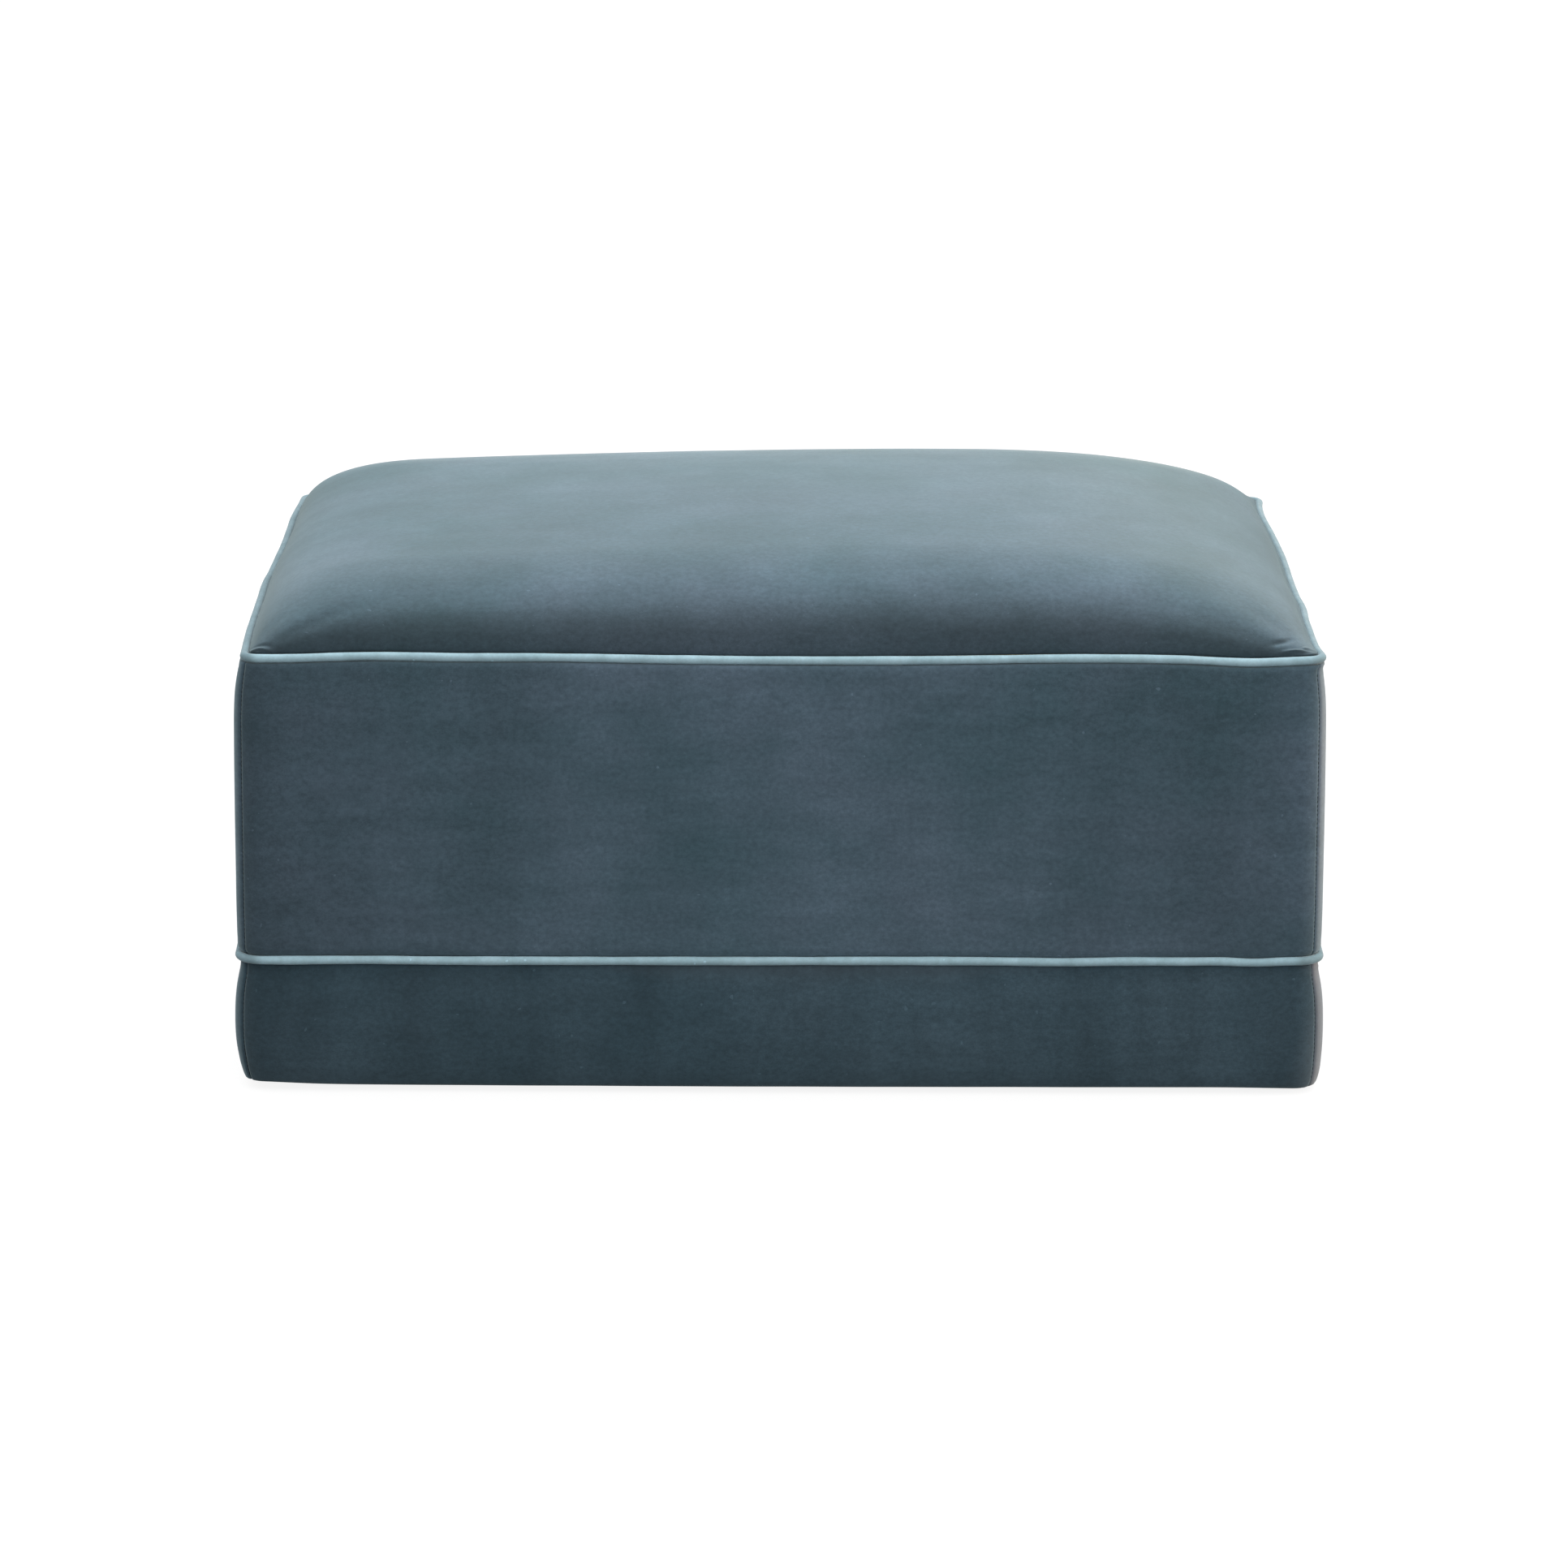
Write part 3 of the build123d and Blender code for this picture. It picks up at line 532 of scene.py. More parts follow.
# The plinth, from its fold under the frame to its lip at the lower welt: a faint ridge under the welt, bottom
# corners drawn in at the left and let out a little at the right
plinth = {
    "lowLip": [(0.0, -0.0175), (0.0, 0.0), (0.0, 0.0105), (0.0003, 0.0130)],
    "bulge": [
        (0.01, 0.0150), (0.028, 0.0164), (0.047, 0.0173), (0.067, 0.0180), (0.125, 0.0196), (0.203, 0.0208),
        (0.268, 0.0216), (0.397, 0.0223), (0.526, 0.0222), (0.642, 0.0215), (0.744, 0.0201), (0.7955, 0.0190),
        (0.847, 0.0176), (0.885, 0.0167), (0.925, 0.0160),
    ],
    "highLip": [
        (-0.0058, 0.0157), (-0.0044, 0.0154), (-0.0031, 0.0134), (-0.0013, 0.0129), (-0.0006, 0.0115),
        (-0.0006, 0.0012),
    ],
    # The plinth is lightened as painted light at the foot of its ends and at its top
    "rows": 84, "unevenness": 0.0006, "footPaintedLight": -0.12, "headPaintedLight": -0.08,
    "ridge": {"height": 0.0005, "drop": 0.0105, "width": 0.0013, "wave": 0.0006, "facing": 0.014},
    "drawnIn": {"left": 0.0026, "right": -0.0012, "height": 0.03, "reach": 0.06},
    "low": dustBox[1].z, "high": seams["lower"], "node": "_plinth_panel", "finish": plinthVelvet,
    "flat": {"long": (1.066, 0.182), "short": (0.806, 0.182)},
}
bands = {"Border": border, "Plinth": plinth}


def bandProfile(band):
    low, high = band["low"], band["high"]
    rows = [(low + rise, outset) for rise, outset in band["lowLip"]]
    rows += [(low + share * (high - low), outset) for share, outset in band["bulge"]]
    return rows + [(high + rise, outset) for rise, outset in band["highLip"]]


# A side cover: its profile carried along the side, grooved at the corner seams and a little uneven. The
# plinth's ridge is a bell curve across a slightly wavy level that comes in from the left
def sideCover(side, band):
    columns = sideColumns(side, covers["cornerColumns"], covers["flatColumns"])
    profile = smoothLine(bandProfile(band), (endSpaced(band["rows"], 1.5) + 1) / 2)
    outer, fromSeam = sideGrid(side, columns, profile, covers["seamGroove"], covers["grooveWidth"])
    free = np.clip(profile[:, 1] / covers["fullFrom"], 0, 1)[None, :] ** 6
    push = unevenness(outer, band["unevenness"]) * free * (1 - bell(fromSeam, covers["seamHold"]))
    if "ridge" in band:
        x, z = outer[..., 0], outer[..., 2]
        ridge, drawn = band["ridge"], band["drawnIn"]
        level = z + ridge["wave"] * np.sin(25 * x) - (band["high"] - ridge["drop"])
        share = np.clip((x + 0.1) / 0.4, 0, 1) * bell(level, ridge["width"])
        push = push + ridge["height"] * share * (profile[:, 1] > ridge["facing"])[None, :]
        corner = bell(covers["halfWidth"] - np.abs(x), drawn["reach"])
        corner = corner * bell(z - band["low"], drawn["height"]) * (profile[:, 1] > 0)[None, :]
        push = push - np.where(x < 0, drawn["left"], drawn["right"]) * corner
    return settle(outer + push[..., None] * gridNormals(outer))


# The tone along each side, from its left end to its right one as seen from outside, as a share that multiplies
# the colour: partly the pile's own tone from place to place, partly painted light: a pale painted sheen on the
# narrow strips just past the front corners, painted shade at the front's left end and along the corner seams.
# A band is darker at the foot of its ends and at its top by its two shares, as painted shade, or lighter, as
# painted light, where they are negative
pile = {
    "front": [(-1, 0.58), (-0.9, 0.8), (-0.5, 0.9), (-0.2, 1), (0.3, 1), (0.6, 0.93), (0.9, 0.87), (1, 0.98)],
    "right": [(-1, 1.3), (-0.98, 1.55), (-0.955, 1.6), (-0.93, 1.4), (-0.86, 0.95), (0.2, 1), (1, 0.86)],
    "back": [(-1, 0.86), (-0.3, 1), (0.5, 0.92), (1, 0.84)],
    "left": [(-1, 0.84), (0, 1), (0.85, 0.9), (0.93, 1.15), (0.96, 1.15), (0.985, 0.85), (1, 0.78)],
    "headHeight": 0.12, "seam": 0.22, "seamReach": 0.0013,
}


def sideToneAndPaintedLight(side, outer, band):
    outX, outY = turnOut[side]
    half = covers["halfWidth"] if outX == 0 else covers["halfDepth"]
    place = (outX * outer[..., 1] - outY * outer[..., 0]) / half
    places, shares = np.array(pile[side]).T
    height = np.clip((outer[..., 2] - band["low"]) / (band["high"] - band["low"]), 0, 1)
    # Painted shade at the foot of the ends and at the top, or painted light where the shares are negative
    foot = 1 - band["footPaintedLight"] * (1 - height) * place**2
    head = 1 - band["headPaintedLight"] * bell(1 - height, pile["headHeight"])
    # Painted shade in a line along the corner seams
    toSeams = [np.linalg.norm(outer - seamLine, axis=-1) for seamLine in (outer[:1], outer[-1:])]
    seam = 1 - pile["seam"] * bell(np.minimum(*toSeams), pile["seamReach"])
    return np.interp(place, places, shares) * foot * head * seam


sideCovers = {}
for side in sides:
    for title, band in bands.items():
        outer = sideCover(side, band)
        inner = outer - covers["thickness"] * gridNormals(outer)
        name, toneAndPaintedLight = side + title, sideToneAndPaintedLight(side, outer, band)
        piece = addShell(name, outer, inner, band["finish"], (side + band["node"],), toneAndPaintedLight=toneAndPaintedLight)
        sideCovers[name] = (piece, outer)
print("borders and plinth covered")

# Foam behind each cover: its outer face keeps a slack inside the cover and is rounded at both edges, its inner
# face lies on the board or the rail
padding = {
    "Border": {
        "low": 0.1337, "high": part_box("front_side_foam")[1].z, "wall": 0.0032, "footIn": 0.0, "rows": 26,
        "node": "_side_foam",
    },
    "Plinth": {
        "low": 0.0078, "high": 0.1283, "wall": 0.0002, "footIn": 0.0028, "rows": 20, "node": "_plinth_foam",
    },
    "columns": 5, "flatColumns": (70, 52), "slip": 0.004, "facing": 0.012, "slack": 0.0009,
    "footHeight": 0.03, "edgeIn": 0.003, "edgeHeight": 0.003,
}
for side in sides:
    for title, band in bands.items():
        pad = padding[title]
        profile = np.array(bandProfile(band))
        facing = profile[profile[:, 1] > padding["facing"]]
        levels = pad["low"] + (pad["high"] - pad["low"]) * (endSpaced(pad["rows"], 1.2) + 1) / 2
        outsets = np.interp(levels, facing[:, 0], facing[:, 1])
        outsets = outsets - covers["thickness"] - covers["gap"] - padding["slack"]
        outsets = outsets - pad["footIn"] * bell(levels - pad["low"], padding["footHeight"])
        ease = np.minimum(levels - levels[0], levels[-1] - levels)
        outsets = outsets - padding["edgeIn"] * np.exp(-ease / padding["edgeHeight"])
        columns = sideColumns(side, padding["columns"], padding["flatColumns"], slip=padding["slip"])
        outer = settle(sideGrid(side, columns, np.stack([levels, outsets], axis=1))[0])
        wall = np.stack([levels, np.full(len(levels), pad["wall"])], axis=1)
        inner = sideGrid(side, columns, wall, flatWall=True)[0]
        piece = addShell(side + title + "Foam", outer, inner, foamFinish, (side + pad["node"],))
print("side foams made")

# The felt sags a little between the springs, as a cosine across and a parabola along, and lifts over the clips
felt = {
    "columns": 150, "rows": 110, "edge": 0.0002, "sag": 0.0012, "springStep": 0.14, "halfDepth": 0.367,
    "clipPlaces": (0.07, 0.21, 0.35), "clipHalf": 0.016, "clipEase": 0.006, "clipFrom": 0.338,
    "clipRamp": 0.004, "clipLift": 0.0019, "off": 0.0001,
}
feltLow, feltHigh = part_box("deck_felt")
x, y = edgeSpacedGrid((feltHigh.x - felt["edge"], feltHigh.y - felt["edge"]), felt, (1.1, 1.4))
toClips = [np.abs(np.abs(x) - place) for place in felt["clipPlaces"]]
nearClip = sum(softStep((felt["clipHalf"] - toClip) / felt["clipEase"]) for toClip in toClips)
clip = nearClip * softStep((np.abs(y) - felt["clipFrom"]) / felt["clipRamp"])
under = feltLow.z + felt["off"] + felt["clipLift"] * clip
between = 0.5 + 0.5 * np.cos(2 * np.pi * x / felt["springStep"])
over = feltHigh.z - felt["sag"] * between * (1 - (y / felt["halfDepth"]) ** 2) * (1 - clip)
addShell(
    "deckFelt", np.stack([x, y, over], axis=-1), np.stack([x, y, under], axis=-1), feltFinish,
    ("deck_felt",),
)
print("felt laid")

# The seat foam fills the covers' inside from the felt up to the upper seam, closed flat at both ends
seatBottom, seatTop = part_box("seat_foam")[0].z + 0.0002, seams["upper"]
seat = [
    (seatBottom, 0.0100), (seatBottom, 0.0145), (seatBottom + 0.003, 0.0152), (0.3800, 0.0146),
    (0.3950, 0.0124), (0.4060, 0.0098), (seatTop - 0.0085, 0.0084), (seatTop - 0.0060, 0.0056),
    (seatTop - 0.0036, 0.0000), (seatTop - 0.0030, -0.0112), (seatTop - 0.0006, -0.0128),
    (seatTop - 0.0004, -0.0300),
]
seatRings = settle(roundGrid(smoothLine(seat, np.linspace(0, 1, 48)), 6, (80, 60)))
columns, rows = seatRings.shape[:2]
faces = gridQuads(columns, rows, True).tolist()
faces.append((np.arange(columns)[::-1] * rows).tolist())
faces.append((np.arange(columns) * rows + rows - 1).tolist())
seatFoam = addPiece("seatFoam", seatRings.reshape(-1, 3), faces, foamFinish, ("seat_foam",))
print("seat foam made")

# The crown: walls over the welt, shoulders wider to the right, and a low dome that leans to the right
crown = {
    "halfWidth": 0.5007, "halfDepth": 0.3727, "corner": 0.0123, "overSeam": 0.0004,
    "columns": 248, "rows": 186, "spacing": 2.1, "leftIn": 0.0014, "rise": 0.0652, "dome": 0.0220,
    "leftShoulder": 0.1517, "rightShoulder": 0.3677, "endShoulder": 0.15, "sideTurn": 3.0, "endTurn": 2.2,
    "lean": 0.1118, "weltRoom": 0.0046, "weltOutset": 0.0060,
    "lip": {"turn": 0.003, "reach": 0.0105, "over": 0.0007, "under": 0.0022},
    "ripples": {"height": 0.00009, "length": 0.062, "drift": 2.3}, "unevenness": 0.00012,
    "freeFrom": 0.01, "freeFade": 0.03,
    # Painted light: darker where the crown is steep and near the seam as painted shade, brighter where it
    # slopes back as a painted highlight
    "steepPaintedShade": [
        (0, 0.60), (0.2, 0.54), (0.45, 0.43), (0.6, 0.39), (0.73, 0.44), (0.82, 0.59), (0.88, 0.79),
        (0.95, 0.93),
    ],
    "backPaintedHighlight": 0.4, "backTilt": 0.2, "sidePaintedShade": 0.8, "seamPaintedShade": 0.5, "seamReach": 0.0065,
    "flat": (1.108, 0.868),
    "cloth": {
        "columns": 84, "rows": 64, "pressure": 4.0, "shorter": 0.004, "hold": 0.2, "bending": 5.0,
        "frames": 20, "averages": 30, "kept": 0.45, "cap": 0.0012,
    },
    "creases": [
        {"at": (-0.489, -0.3672), "turn": -22, "length": 0.009, "width": 0.0013, "height": 0.0015},
        {"at": (-0.487, -0.3640), "turn": -24, "length": 0.010, "width": 0.0016, "height": -0.0009},
        {"at": (0.481, -0.3678), "turn": 12, "length": 0.010, "width": 0.0014, "height": 0.0022},
        {"at": (0.492, -0.3605), "turn": 42, "length": 0.006, "width": 0.0016, "height": 0.0016},
        {"at": (0.470, -0.3605), "turn": 25, "length": 0.009, "width": 0.0025, "height": -0.0015},
        {"at": (0.479, -0.3535), "turn": 45, "length": 0.006, "width": 0.0025, "height": -0.0010},
    ],
}


# The square root of one less a power of the share still to go: upright at the edge, level from the shoulder
def shoulderRise(share, turn):
    return np.sqrt(1 - (1 - np.clip(share, 0, 1)) ** turn)


def crownRise(x, y):
    half, depth = crown["halfWidth"], crown["halfDepth"]
    side = np.where(x < 0, (half + x) / crown["leftShoulder"], (half - x) / crown["rightShoulder"])
    end = (depth - np.abs(y)) / crown["endShoulder"]
    walls = shoulderRise(side, crown["sideTurn"]) * shoulderRise(end, crown["endTurn"])
    dome = (1 - (x / half) ** 2) * (1 - (y / depth) ** 2)
    return (crown["rise"] * walls + crown["dome"] * dome) * (1 + crown["lean"] * x / half)


# A crease is a bell curve across a short line, turned about the vertical
def crease(x, y, fold):
    turn = math.radians(fold["turn"])
    dx, dy = x - fold["at"][0], y - fold["at"][1]
    along, across = dx * math.cos(turn) + dy * math.sin(turn), dy * math.cos(turn) - dx * math.sin(turn)
    return fold["height"] * np.exp(-((along / fold["length"]) ** 2) - (across / fold["width"]) ** 2)


# The crown's grid: a rectangle with its corners rounded as a square is to a disc, raised by the crown's rise,
# bowed along its sides, drawn in a little at its left and kept clear of the welt
def crownGrid(net):
    half, depth, r = crown["halfWidth"], crown["halfDepth"], crown["corner"]
    x, y = edgeSpacedGrid((half, depth), net, (crown["spacing"], crown["spacing"]))
    rise = crownRise(x, y)
    overX = np.clip(np.abs(x) - (half - r), 0, r) / r
    overY = np.clip(np.abs(y) - (depth - r), 0, r) / r
    planX = np.sign(x) * (np.minimum(np.abs(x), half - r) + r * overX * np.sqrt(1 - overY**2 / 2))
    planY = np.sign(y) * (np.minimum(np.abs(y), depth - r) + r * overY * np.sqrt(1 - overX**2 / 2))
    outX, outY = np.sign(x) * overX, np.sign(y) * overY
    size = np.maximum(np.hypot(outX, outY), 1e-9)
    aboveSeam = np.clip(rise + crown["overSeam"], 0, crown["weltRoom"])
    drawn = np.sqrt(crown["weltRoom"] ** 2 - aboveSeam**2) - crown["weltOutset"] - plan["corner"]
    planX = planX - np.maximum(drawn + half - plan["halfWidth"], 0) * outX / size
    planY = planY - np.maximum(drawn + depth - plan["halfDepth"], 0) * outY / size
    bowX = np.where(x > 0, plan["bow"]["right"], -plan["bow"]["left"]) * (1 - (y / depth) ** 2)
    bowY = np.where(y > 0, plan["bow"]["back"], -plan["bow"]["front"]) * (1 - (x / half) ** 2)
    planX = planX + bowX * (np.abs(x) / half) ** 3 + crown["leftIn"] * np.clip(-x / half, 0, 1) ** 3
    planY = planY + bowY * (np.abs(y) / depth) ** 3
    return np.stack([planX, planY, seams["upper"] + crown["overSeam"] + rise], axis=-1), rise


# Faint ripples that run from side to side: a wave across the depth that drifts along the width, and that comes
# and goes, strongest to the left
def ripples(points):
    wave = crown["ripples"]
    x, y = np.moveaxis(points[..., :2], -1, 0)
    drift = wave["drift"] * np.sin(2.1 * x + 0.6) + 0.9 * np.sin(7.3 * x - 2.0)
    share = (0.45 - 0.35 * np.sin(2.6 * x)) * (0.7 + 0.3 * np.sin(9 * x + 5 * y))
    across = np.sin(2 * np.pi * y / wave["length"] + drift) + 0.5 * np.sin(173 * y - 1.7 * drift)
    return wave["height"] * share * across


# The top panel as simulated cloth: a coarse net of the crown, cut a little short, is sewn down round its edge,
# held softly to its pad and pushed up. How far each point moves beyond the average round it is kept, capped
# and carried to the cover's fine grid: the small drags at the corners
def clothMoves():
    net = crown["cloth"]
    columns, rows = net["columns"], net["rows"]
    start = crownGrid(net)[0]
    piece = addMesh("clothNet", start.reshape(-1, 3).tolist(), gridQuads(columns, rows).tolist())
    held = piece.vertex_groups.new(name="held")
    held.add(list(range(columns * rows)), net["hold"], "REPLACE")
    held.add(np.unique(openEdges(columns, rows, False)).tolist(), 1.0, "REPLACE")
    cloth = piece.modifiers.new("cloth", "CLOTH")
    cloth.settings.vertex_group_mass = "held"
    cloth.settings.use_pressure = True
    cloth.settings.uniform_pressure_force = net["pressure"]
    cloth.settings.shrink_min = net["shorter"]
    cloth.settings.bending_stiffness = net["bending"]
    cloth.settings.effector_weights.gravity = 0
    cloth.point_cache.frame_start, cloth.point_cache.frame_end = 1, net["frames"]
    for number in range(1, net["frames"] + 1):
        bpy.context.scene.frame_set(number)
    shaped = piece.evaluated_get(bpy.context.evaluated_depsgraph_get()).to_mesh()
    ended = np.empty(3 * len(shaped.vertices))
    shaped.vertices.foreach_get("co", ended)
    bpy.context.scene.frame_set(1)
    bpy.data.meshes.remove(piece.data)
    moves = np.sum((ended.reshape(columns, rows, 3) - start) * gridNormals(start), axis=-1)
    average = moves
    for _ in range(net["averages"]):
        wide = np.pad(average, 1, mode="edge")
        average = (wide[2:, 1:-1] + wide[:-2, 1:-1] + wide[1:-1, 2:] + wide[1:-1, :-2]) / 4
    moves = net["cap"] * np.tanh(net["kept"] * (moves - average) / net["cap"])
    print("cloth simulated, its drags up to", round(1000 * float(np.abs(moves).max()), 2), "mm")
    u, v = np.linspace(-1, 1, columns), np.linspace(-1, 1, rows)
    fine = smoothAlong(moves, u, np.linspace(-1, 1, crown["columns"]))
    return smoothAlong(np.ascontiguousarray(fine.T), v, np.linspace(-1, 1, crown["rows"])).T


crownOuter, crownHeight = crownGrid(crown)
free = np.clip((crownHeight - crown["freeFrom"]) / crown["freeFade"], 0, 1)
push = (ripples(crownOuter) + unevenness(crownOuter, crown["unevenness"])) * free
push = push + clothMoves() * free
push = push + sum(crease(crownOuter[..., 0], crownOuter[..., 1], fold) for fold in crown["creases"])
crownOuter = settle(crownOuter + push[..., None] * gridNormals(crownOuter))
crownNormals = gridNormals(crownOuter)

# Painted light on the crown: where it is steep its colour is darkened as painted shade, by how far its normal
# points up, less so at the sides; where it slopes to the back it is a little brighter, as a painted highlight,
# and where it is pressed into the seam it is darkened as painted shade
tilt = np.hypot(crown["sidePaintedShade"] * crownNormals[..., 0], crownNormals[..., 1])
crownPaintedLight = np.interp(np.sqrt(1 - np.minimum(tilt, 1) ** 2), *np.array(crown["steepPaintedShade"]).T)
crownPaintedLight = crownPaintedLight * (1 + crown["backPaintedHighlight"] * np.clip(crownNormals[..., 1] / crown["backTilt"], 0, 1))
crownPaintedLight = crownPaintedLight * (1 - crown["seamPaintedShade"] * bell(crownHeight, crown["seamReach"]))


# The lip under the crown: two rings more round the grid, each the edge drawn in towards the middle
def withLip(grid, above):
    wide = np.pad(grid, ((2, 2), (2, 2), (0, 0)), mode="edge")
    first = np.ones(wide.shape[:2], bool)
    first[2:-2, 2:-2] = False
    last = first.copy()
    last[1:-1, 1:-1] = False
    first &= ~last
    for ring, reach in ((first, crown["lip"]["turn"]), (last, crown["lip"]["reach"])):
        wide[ring, 0] *= 1 - reach / crown["halfWidth"]
        wide[ring, 1] *= 1 - reach / crown["halfDepth"]
        wide[ring, 2] = wide[ring, 2] - crown["overSeam"] + above
    return wide


topInner = crownOuter - covers["thickness"] * crownNormals
topOver, topUnder = withLip(crownOuter, crown["lip"]["over"]), withLip(topInner, crown["lip"]["under"])
topPaintedLight = np.pad(crownPaintedLight, 2, mode="edge")
topPanel = addShell("topPanel", topOver, topUnder, bodyVelvet, ("top_panel",), toneAndPaintedLight=topPaintedLight)

# The soft pad under the top panel, flat underneath where it lies on the seat foam and higher over the lips
padUnder = {"lips": 0.0030, "drop": 0.0028, "dropFrom": 0.014, "dropEase": 0.006, "least": 0.0004}
padTop = (crownOuter - (covers["thickness"] + covers["gap"]) * crownNormals)[3:-3, 3:-3]
inside = np.minimum(crown["halfWidth"] - np.abs(padTop[..., 0]), crown["halfDepth"] - np.abs(padTop[..., 1]))
drop = padUnder["drop"] * softStep((inside - padUnder["dropFrom"]) / padUnder["dropEase"])
padBottom = padTop.copy()
padBottom[..., 2] = seams["upper"] + padUnder["lips"] - drop
tooHigh = padBottom[..., 2:] > padTop[..., 2:] - padUnder["least"]
padBottom = np.where(tooHigh, padTop - np.array([0, 0, padUnder["least"]]), padBottom)
crownPad = addShell("crownPad", padTop[::2, ::2], padBottom[::2, ::2], foamFinish, ("crown_pad",))
print("top panel and its pad made")

# Piping: a strip folded round a cord, its two plies sewn in between the covers, and darkened along both sides
# as painted shade
piping = {
    "radius": 0.0041, "cordRoom": 0.0028, "ply": 0.00058, "innerPly": 0.00005, "allowance": 0.0100,
    "turnPoints": 30, "cornerColumns": 12, "flatColumns": (170, 125), "uneven": 0.00022,
    "sidePaintedShade": {"left": 0.42, "right": 0.38, "from": 0.488, "fade": 0.012},
    "upper": {"outset": 0.0060, "rests": "upperCord"}, "lower": {"outset": 0.0170, "rests": "lowerCord"},
    "flat": {"upper": (3.508, 0.047), "lower": (3.58, 0.047)},
    "cord": {
        "radius": 0.00235, "lobe": 0.00022, "strands": 3, "turns": 96, "points": 12, "cornerColumns": 14,
        "flatColumns": (500, 370),
    },
}


# The sleeve's section: in along one ply, round the cord and out along the other
def sleeveSection(level, outset, radius, ply):
    opening = math.asin(min(ply / radius, 1))
    turn = np.linspace(-math.pi + opening, math.pi - opening, piping["turnPoints"])
    ring = np.stack([radius * np.sin(turn), radius * np.cos(turn)], axis=1)
    inner = -piping["radius"] - piping["allowance"]
    low = np.array([[-ply, inner], [-ply, 0.5 * (inner + ring[0, 1])]])
    high = np.array([[ply, 0.5 * (inner + ring[0, 1])], [ply, inner]])
    return np.concatenate([low, ring, high]) + np.array([level, outset])


# The cord: round sections turned as they go on, with one lobe for each strand
def cordGrid(level, outset):
    cord = piping["cord"]
    counts = (cord["cornerColumns"], cord["flatColumns"], 1.0)
    angle = np.linspace(0, 2 * np.pi, cord["points"], endpoint=False)
    steady = roundGrid([(level, outset)], *counts)[:, 0]
    outwards = unit(roundGrid([(level, outset + 0.001)], *counts)[:, 0] - steady)
    length = np.linalg.norm(np.diff(np.concatenate([steady, steady[:1]]), axis=0), axis=1)
    share = np.concatenate([[0], np.cumsum(length)[:-1]]) / length.sum()
    lobe = np.cos(cord["strands"] * (angle[None, :] - 2 * np.pi * cord["turns"] * share[:, None]))
    radius = cord["radius"] + cord["lobe"] * lobe
    rise = np.array([0, 0, 1.0])
    return (
        steady[:, None]
        + (radius * np.cos(angle)[None, :])[..., None] * outwards[:, None]
        + (radius * np.sin(angle)[None, :])[..., None] * rise
    )


for name in ("upper", "lower"):
    level, outset = seams[name], piping[name]["outset"]
    counts = (piping["cornerColumns"], piping["flatColumns"])
    outer = roundGrid(sleeveSection(level, outset, piping["radius"], piping["ply"]), *counts)
    inner = roundGrid(sleeveSection(level, outset, piping["cordRoom"], piping["innerPly"]), *counts)
    uneven = unevenness(outer * np.array([2.2, 2.2, 1]), piping["uneven"])[..., None]
    outer = outer + uneven * gridNormals(outer, True)
    # Painted shade: the sleeve is darkened where it runs along the left and right sides
    x, darker = outer[..., 0], piping["sidePaintedShade"]
    atSide = softStep((np.abs(x) - darker["from"]) / darker["fade"])
    sleeve = addShell(
        name + "Piping", settle(outer), settle(inner), pipingVelvet, (name + "_welt",), True,
        1 - np.where(x < 0, darker["left"], darker["right"]) * atSide,
    )
    cord = settle(cordGrid(level, outset))
    faces = gridQuads(*cord.shape[:2], True, True).tolist()
    rests = piping[name]["rests"]
    addPiece(rests, cord.reshape(-1, 3), faces, cordFinish, (name + "_welt_cord",))
print("piping made")

# The dust cover hangs a little between the rails, in shallow bellies, and its edge waves between the staples
dust = {
    "columns": 120, "rows": 90, "edge": 0.0002, "off": 0.0001, "thickness": 0.0005, "flat": (0.982, 0.722),
    "openHalf": (0.43, 0.30), "sag": 0.0016, "sagFade": 0.2, "belly": 0.48,
    "rail": 0.061, "pull": 0.0004, "pullShare": 0.3, "pullFade": 0.01, "stapleStep": 0.1,
}
x, y = edgeSpacedGrid((dustBox[1].x - dust["edge"], dustBox[1].y - dust["edge"]), dust, (1.2, 1.2))
inX, inY = dust["openHalf"][0] - np.abs(x), dust["openHalf"][1] - np.abs(y)
belly = 0.55 + 0.45 * np.cos(2 * np.pi * x / dust["belly"] + np.pi)
hang = dust["sag"] * softStep(inX / dust["sagFade"]) * softStep(inY / dust["sagFade"]) * belly
edgeX, edgeY = (np.exp(-np.maximum(inside + dust["rail"], 0) / dust["pullFade"]) for inside in (inX, inY))
staples = 1 + np.sin(2 * np.pi * (x + y) / dust["stapleStep"])
lift = dust["pull"] * np.maximum(edgeX, edgeY) * dust["pullShare"] * staples
over = dustBox[1].z - dust["off"] - hang - lift
dustCover = addShell(
    "dustCover", np.stack([x, y, over], axis=-1), np.stack([x, y, over - dust["thickness"]], axis=-1),
    dustFinish, ("dust_cover",),
)
print("dust cover stretched")

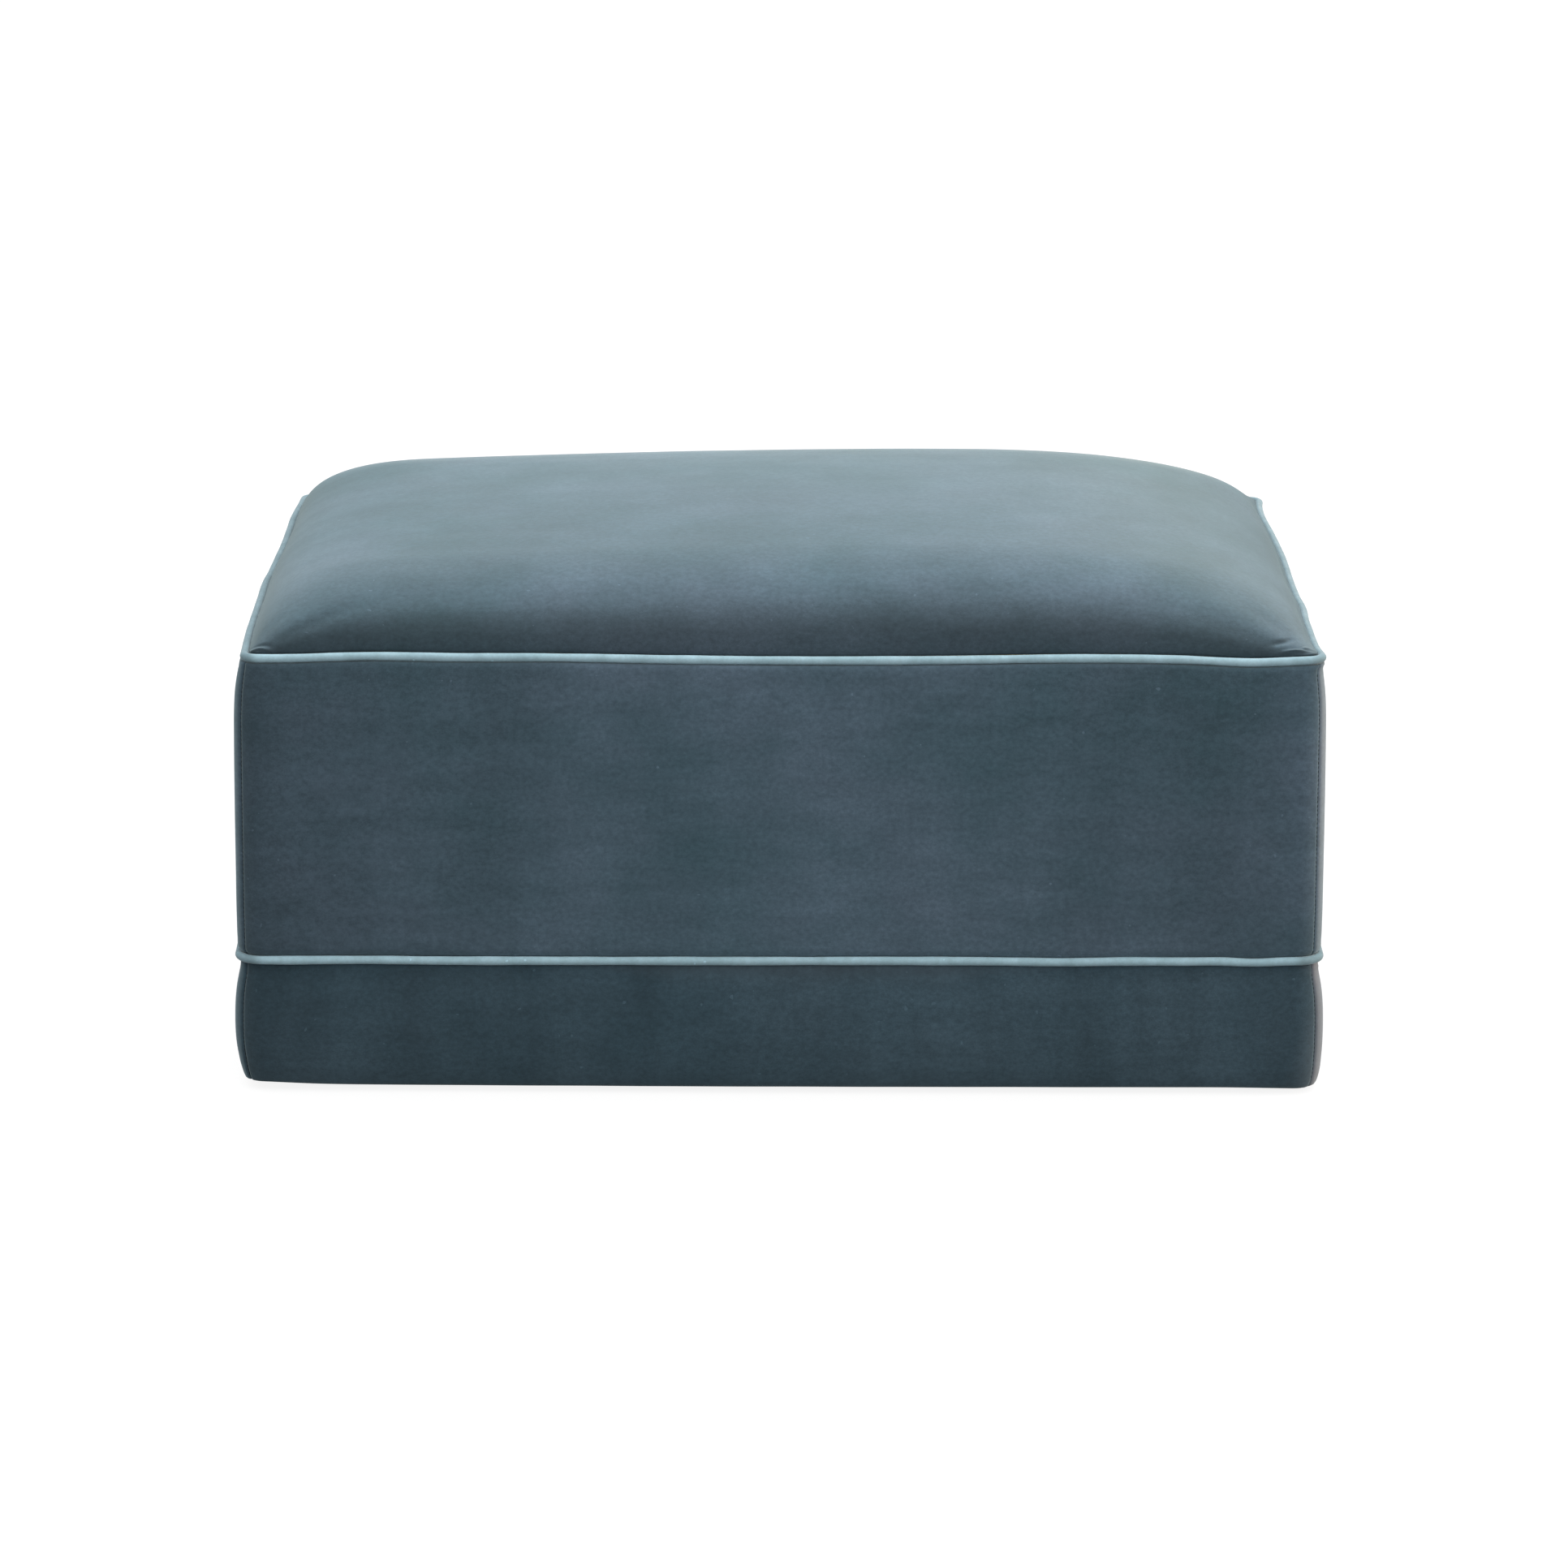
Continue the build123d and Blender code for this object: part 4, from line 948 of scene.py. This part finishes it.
# Stitches down the corner seams: one small spindle each, lying in the groove
stitches = {
    "step": 0.0042, "length": 0.0028, "radius": 0.00032, "around": 6, "margin": 0.003, "ahead": 0.0005,
    "clearLow": 0.006, "clearHigh": 0.008,
}
spindle = np.array([(-0.5, 0.15), (-0.3, 0.85), (0.0, 1.0), (0.3, 0.85), (0.5, 0.15)])
around = stitches["around"]
angle = np.linspace(0, 2 * np.pi, around, endpoint=False)[None, None, :, None]
spindleQuads = gridQuads(len(spindle), around, closedUp=True)
spindleEnds = np.arange(around), (len(spindle) - 1) * around + np.arange(around)[::-1]
points, faces = [], []
for side in sides:
    for title, band in bands.items():
        seamLine = sideCovers[side + title][1][-1]
        low, high = band["low"] + stitches["clearLow"], band["high"] - stitches["clearHigh"]
        line = seamLine[(seamLine[:, 2] > low) & (seamLine[:, 2] < high)]
        reach = lengthsAlong(line)
        places = np.arange(stitches["margin"], reach[-1] - stitches["margin"], stitches["step"])
        centres = smoothAlong(line, reach, places)
        ahead = unit(smoothAlong(line, reach, places + stitches["ahead"]) - centres)
        cornerCentre = np.sign(centres) * np.array([plan["halfWidth"], plan["halfDepth"], 0])
        outwards = unit(centres * np.array([1, 1, 0]) - cornerCentre)
        across = np.cross(ahead, outwards)[:, None, None]
        centres = (centres + stitches["radius"] * outwards)[:, None, None]
        ahead, outwards = ahead[:, None, None], outwards[:, None, None]
        spread = stitches["radius"] * spindle[None, :, 1, None, None]
        rings = (
            centres
            + stitches["length"] * spindle[None, :, 0, None, None] * ahead
            + spread * (np.cos(angle) * outwards + np.sin(angle) * across)
        )
        starts = sum(len(p) for p in points) + np.arange(len(places)) * len(spindle) * around
        points.append(rings.reshape(-1, 3))
        faces += (starts[:, None, None] + spindleQuads).reshape(-1, 4).tolist()
        for end in spindleEnds:
            faces += (starts[:, None] + end).tolist()
addPiece("cornerStitches", np.concatenate(points), faces, threadFinish)
print("corner seams stitched")

floor = addMesh("floor", [(-40, -40, 0), (40, -40, 0), (40, 40, 0), (-40, 40, 0)], [(0, 1, 2, 3)])

# The floor is white to the camera and in reflections, keeps the object's shadow, and is grey to the light
studio = {
    "floorShade": 0.2, "floorGlow": 0.87, "sky": 1.15, "horizon": 0.75, "leftToRight": 0.13,
    "over": {
        "place": (0.15, 0.6, 3.2), "aim": (0, 0, 0.4), "size": (3.0, 2.4), "power": 42.0, "colour": (1, 1, 1),
    },
    "right": {
        "place": (3.4, 0.1, 0.7), "aim": (0, 0, 0.2), "size": (1.8, 0.9), "power": 42.0,
        "colour": (1, 0.77, 0.57),
    },
}
white = (1.0, 1.0, 1.0, 1.0)


# One for the camera's rays and those that reflect or pass through, nothing for those that light
def seenDirectly(tree):
    rays = addNode(tree, "ShaderNodeLightPath").outputs
    straight = mathOf(tree, "MAXIMUM", rays["Is Camera Ray"], rays["Is Glossy Ray"])
    return mathOf(tree, "MAXIMUM", straight, rays["Is Transmission Ray"])


floorFinish = bpy.data.materials.new("whiteFloor")
floorFinish.use_nodes = True
tree = floorFinish.node_tree
tree.nodes.clear()
matte = addNode(tree, "ShaderNodeBsdfDiffuse", {"Color": shade((1, 1, 1), studio["floorShade"])})
glow = addNode(tree, "ShaderNodeEmission", {"Color": white, "Strength": studio["floorGlow"]})
both = addNode(tree, "ShaderNodeAddShader", {0: matte.outputs[0], 1: glow.outputs[0]})
mixed = addNode(tree, "ShaderNodeMixShader", {0: seenDirectly(tree), 1: matte.outputs[0], 2: both.outputs[0]})
addNode(tree, "ShaderNodeOutputMaterial", {"Surface": mixed.outputs[0]})
floor.data.materials.append(floorFinish)

# The sky lights more from above than from the horizon, a little more from the right, and is seen white
world = bpy.data.worlds.new("studio")
bpy.context.scene.world = world
world.use_nodes = True
tree = world.node_tree
tree.nodes.clear()
upwards = addNode(tree, "ShaderNodeTexCoord").outputs["Generated"]
direction = addNode(tree, "ShaderNodeSeparateXYZ", {0: upwards}).outputs
fromAbove = rampOf(tree, direction["Z"], 0.0, 1.0, studio["horizon"], studio["sky"])
fromRight = rampOf(tree, direction["X"], -1.0, 1.0, 1 - studio["leftToRight"], 1 + studio["leftToRight"])
strength = mathOf(tree, "MULTIPLY", fromAbove, fromRight)
soft = addNode(tree, "ShaderNodeBackground", {"Color": white, "Strength": strength})
plain = addNode(tree, "ShaderNodeBackground", {"Color": white, "Strength": 1.0})
mixed = addNode(tree, "ShaderNodeMixShader", {0: seenDirectly(tree), 1: soft.outputs[0], 2: plain.outputs[0]})
addNode(tree, "ShaderNodeOutputWorld", {"Surface": mixed.outputs[0]})

for name in ("over", "right"):
    lamp = studio[name]
    light = bpy.data.lights.new(name + "Light", "AREA")
    light.shape = "RECTANGLE"
    light.size, light.size_y = lamp["size"]
    light.energy, light.color = lamp["power"], lamp["colour"]
    holder = addObject(name + "Light", light)
    away = Vector(lamp["place"]) - Vector(lamp["aim"])
    facing = away.to_track_quat("Z", "Y").to_matrix().to_4x4()
    holder.matrix_world = Matrix.Translation(lamp["place"]) @ facing
print("studio lit")
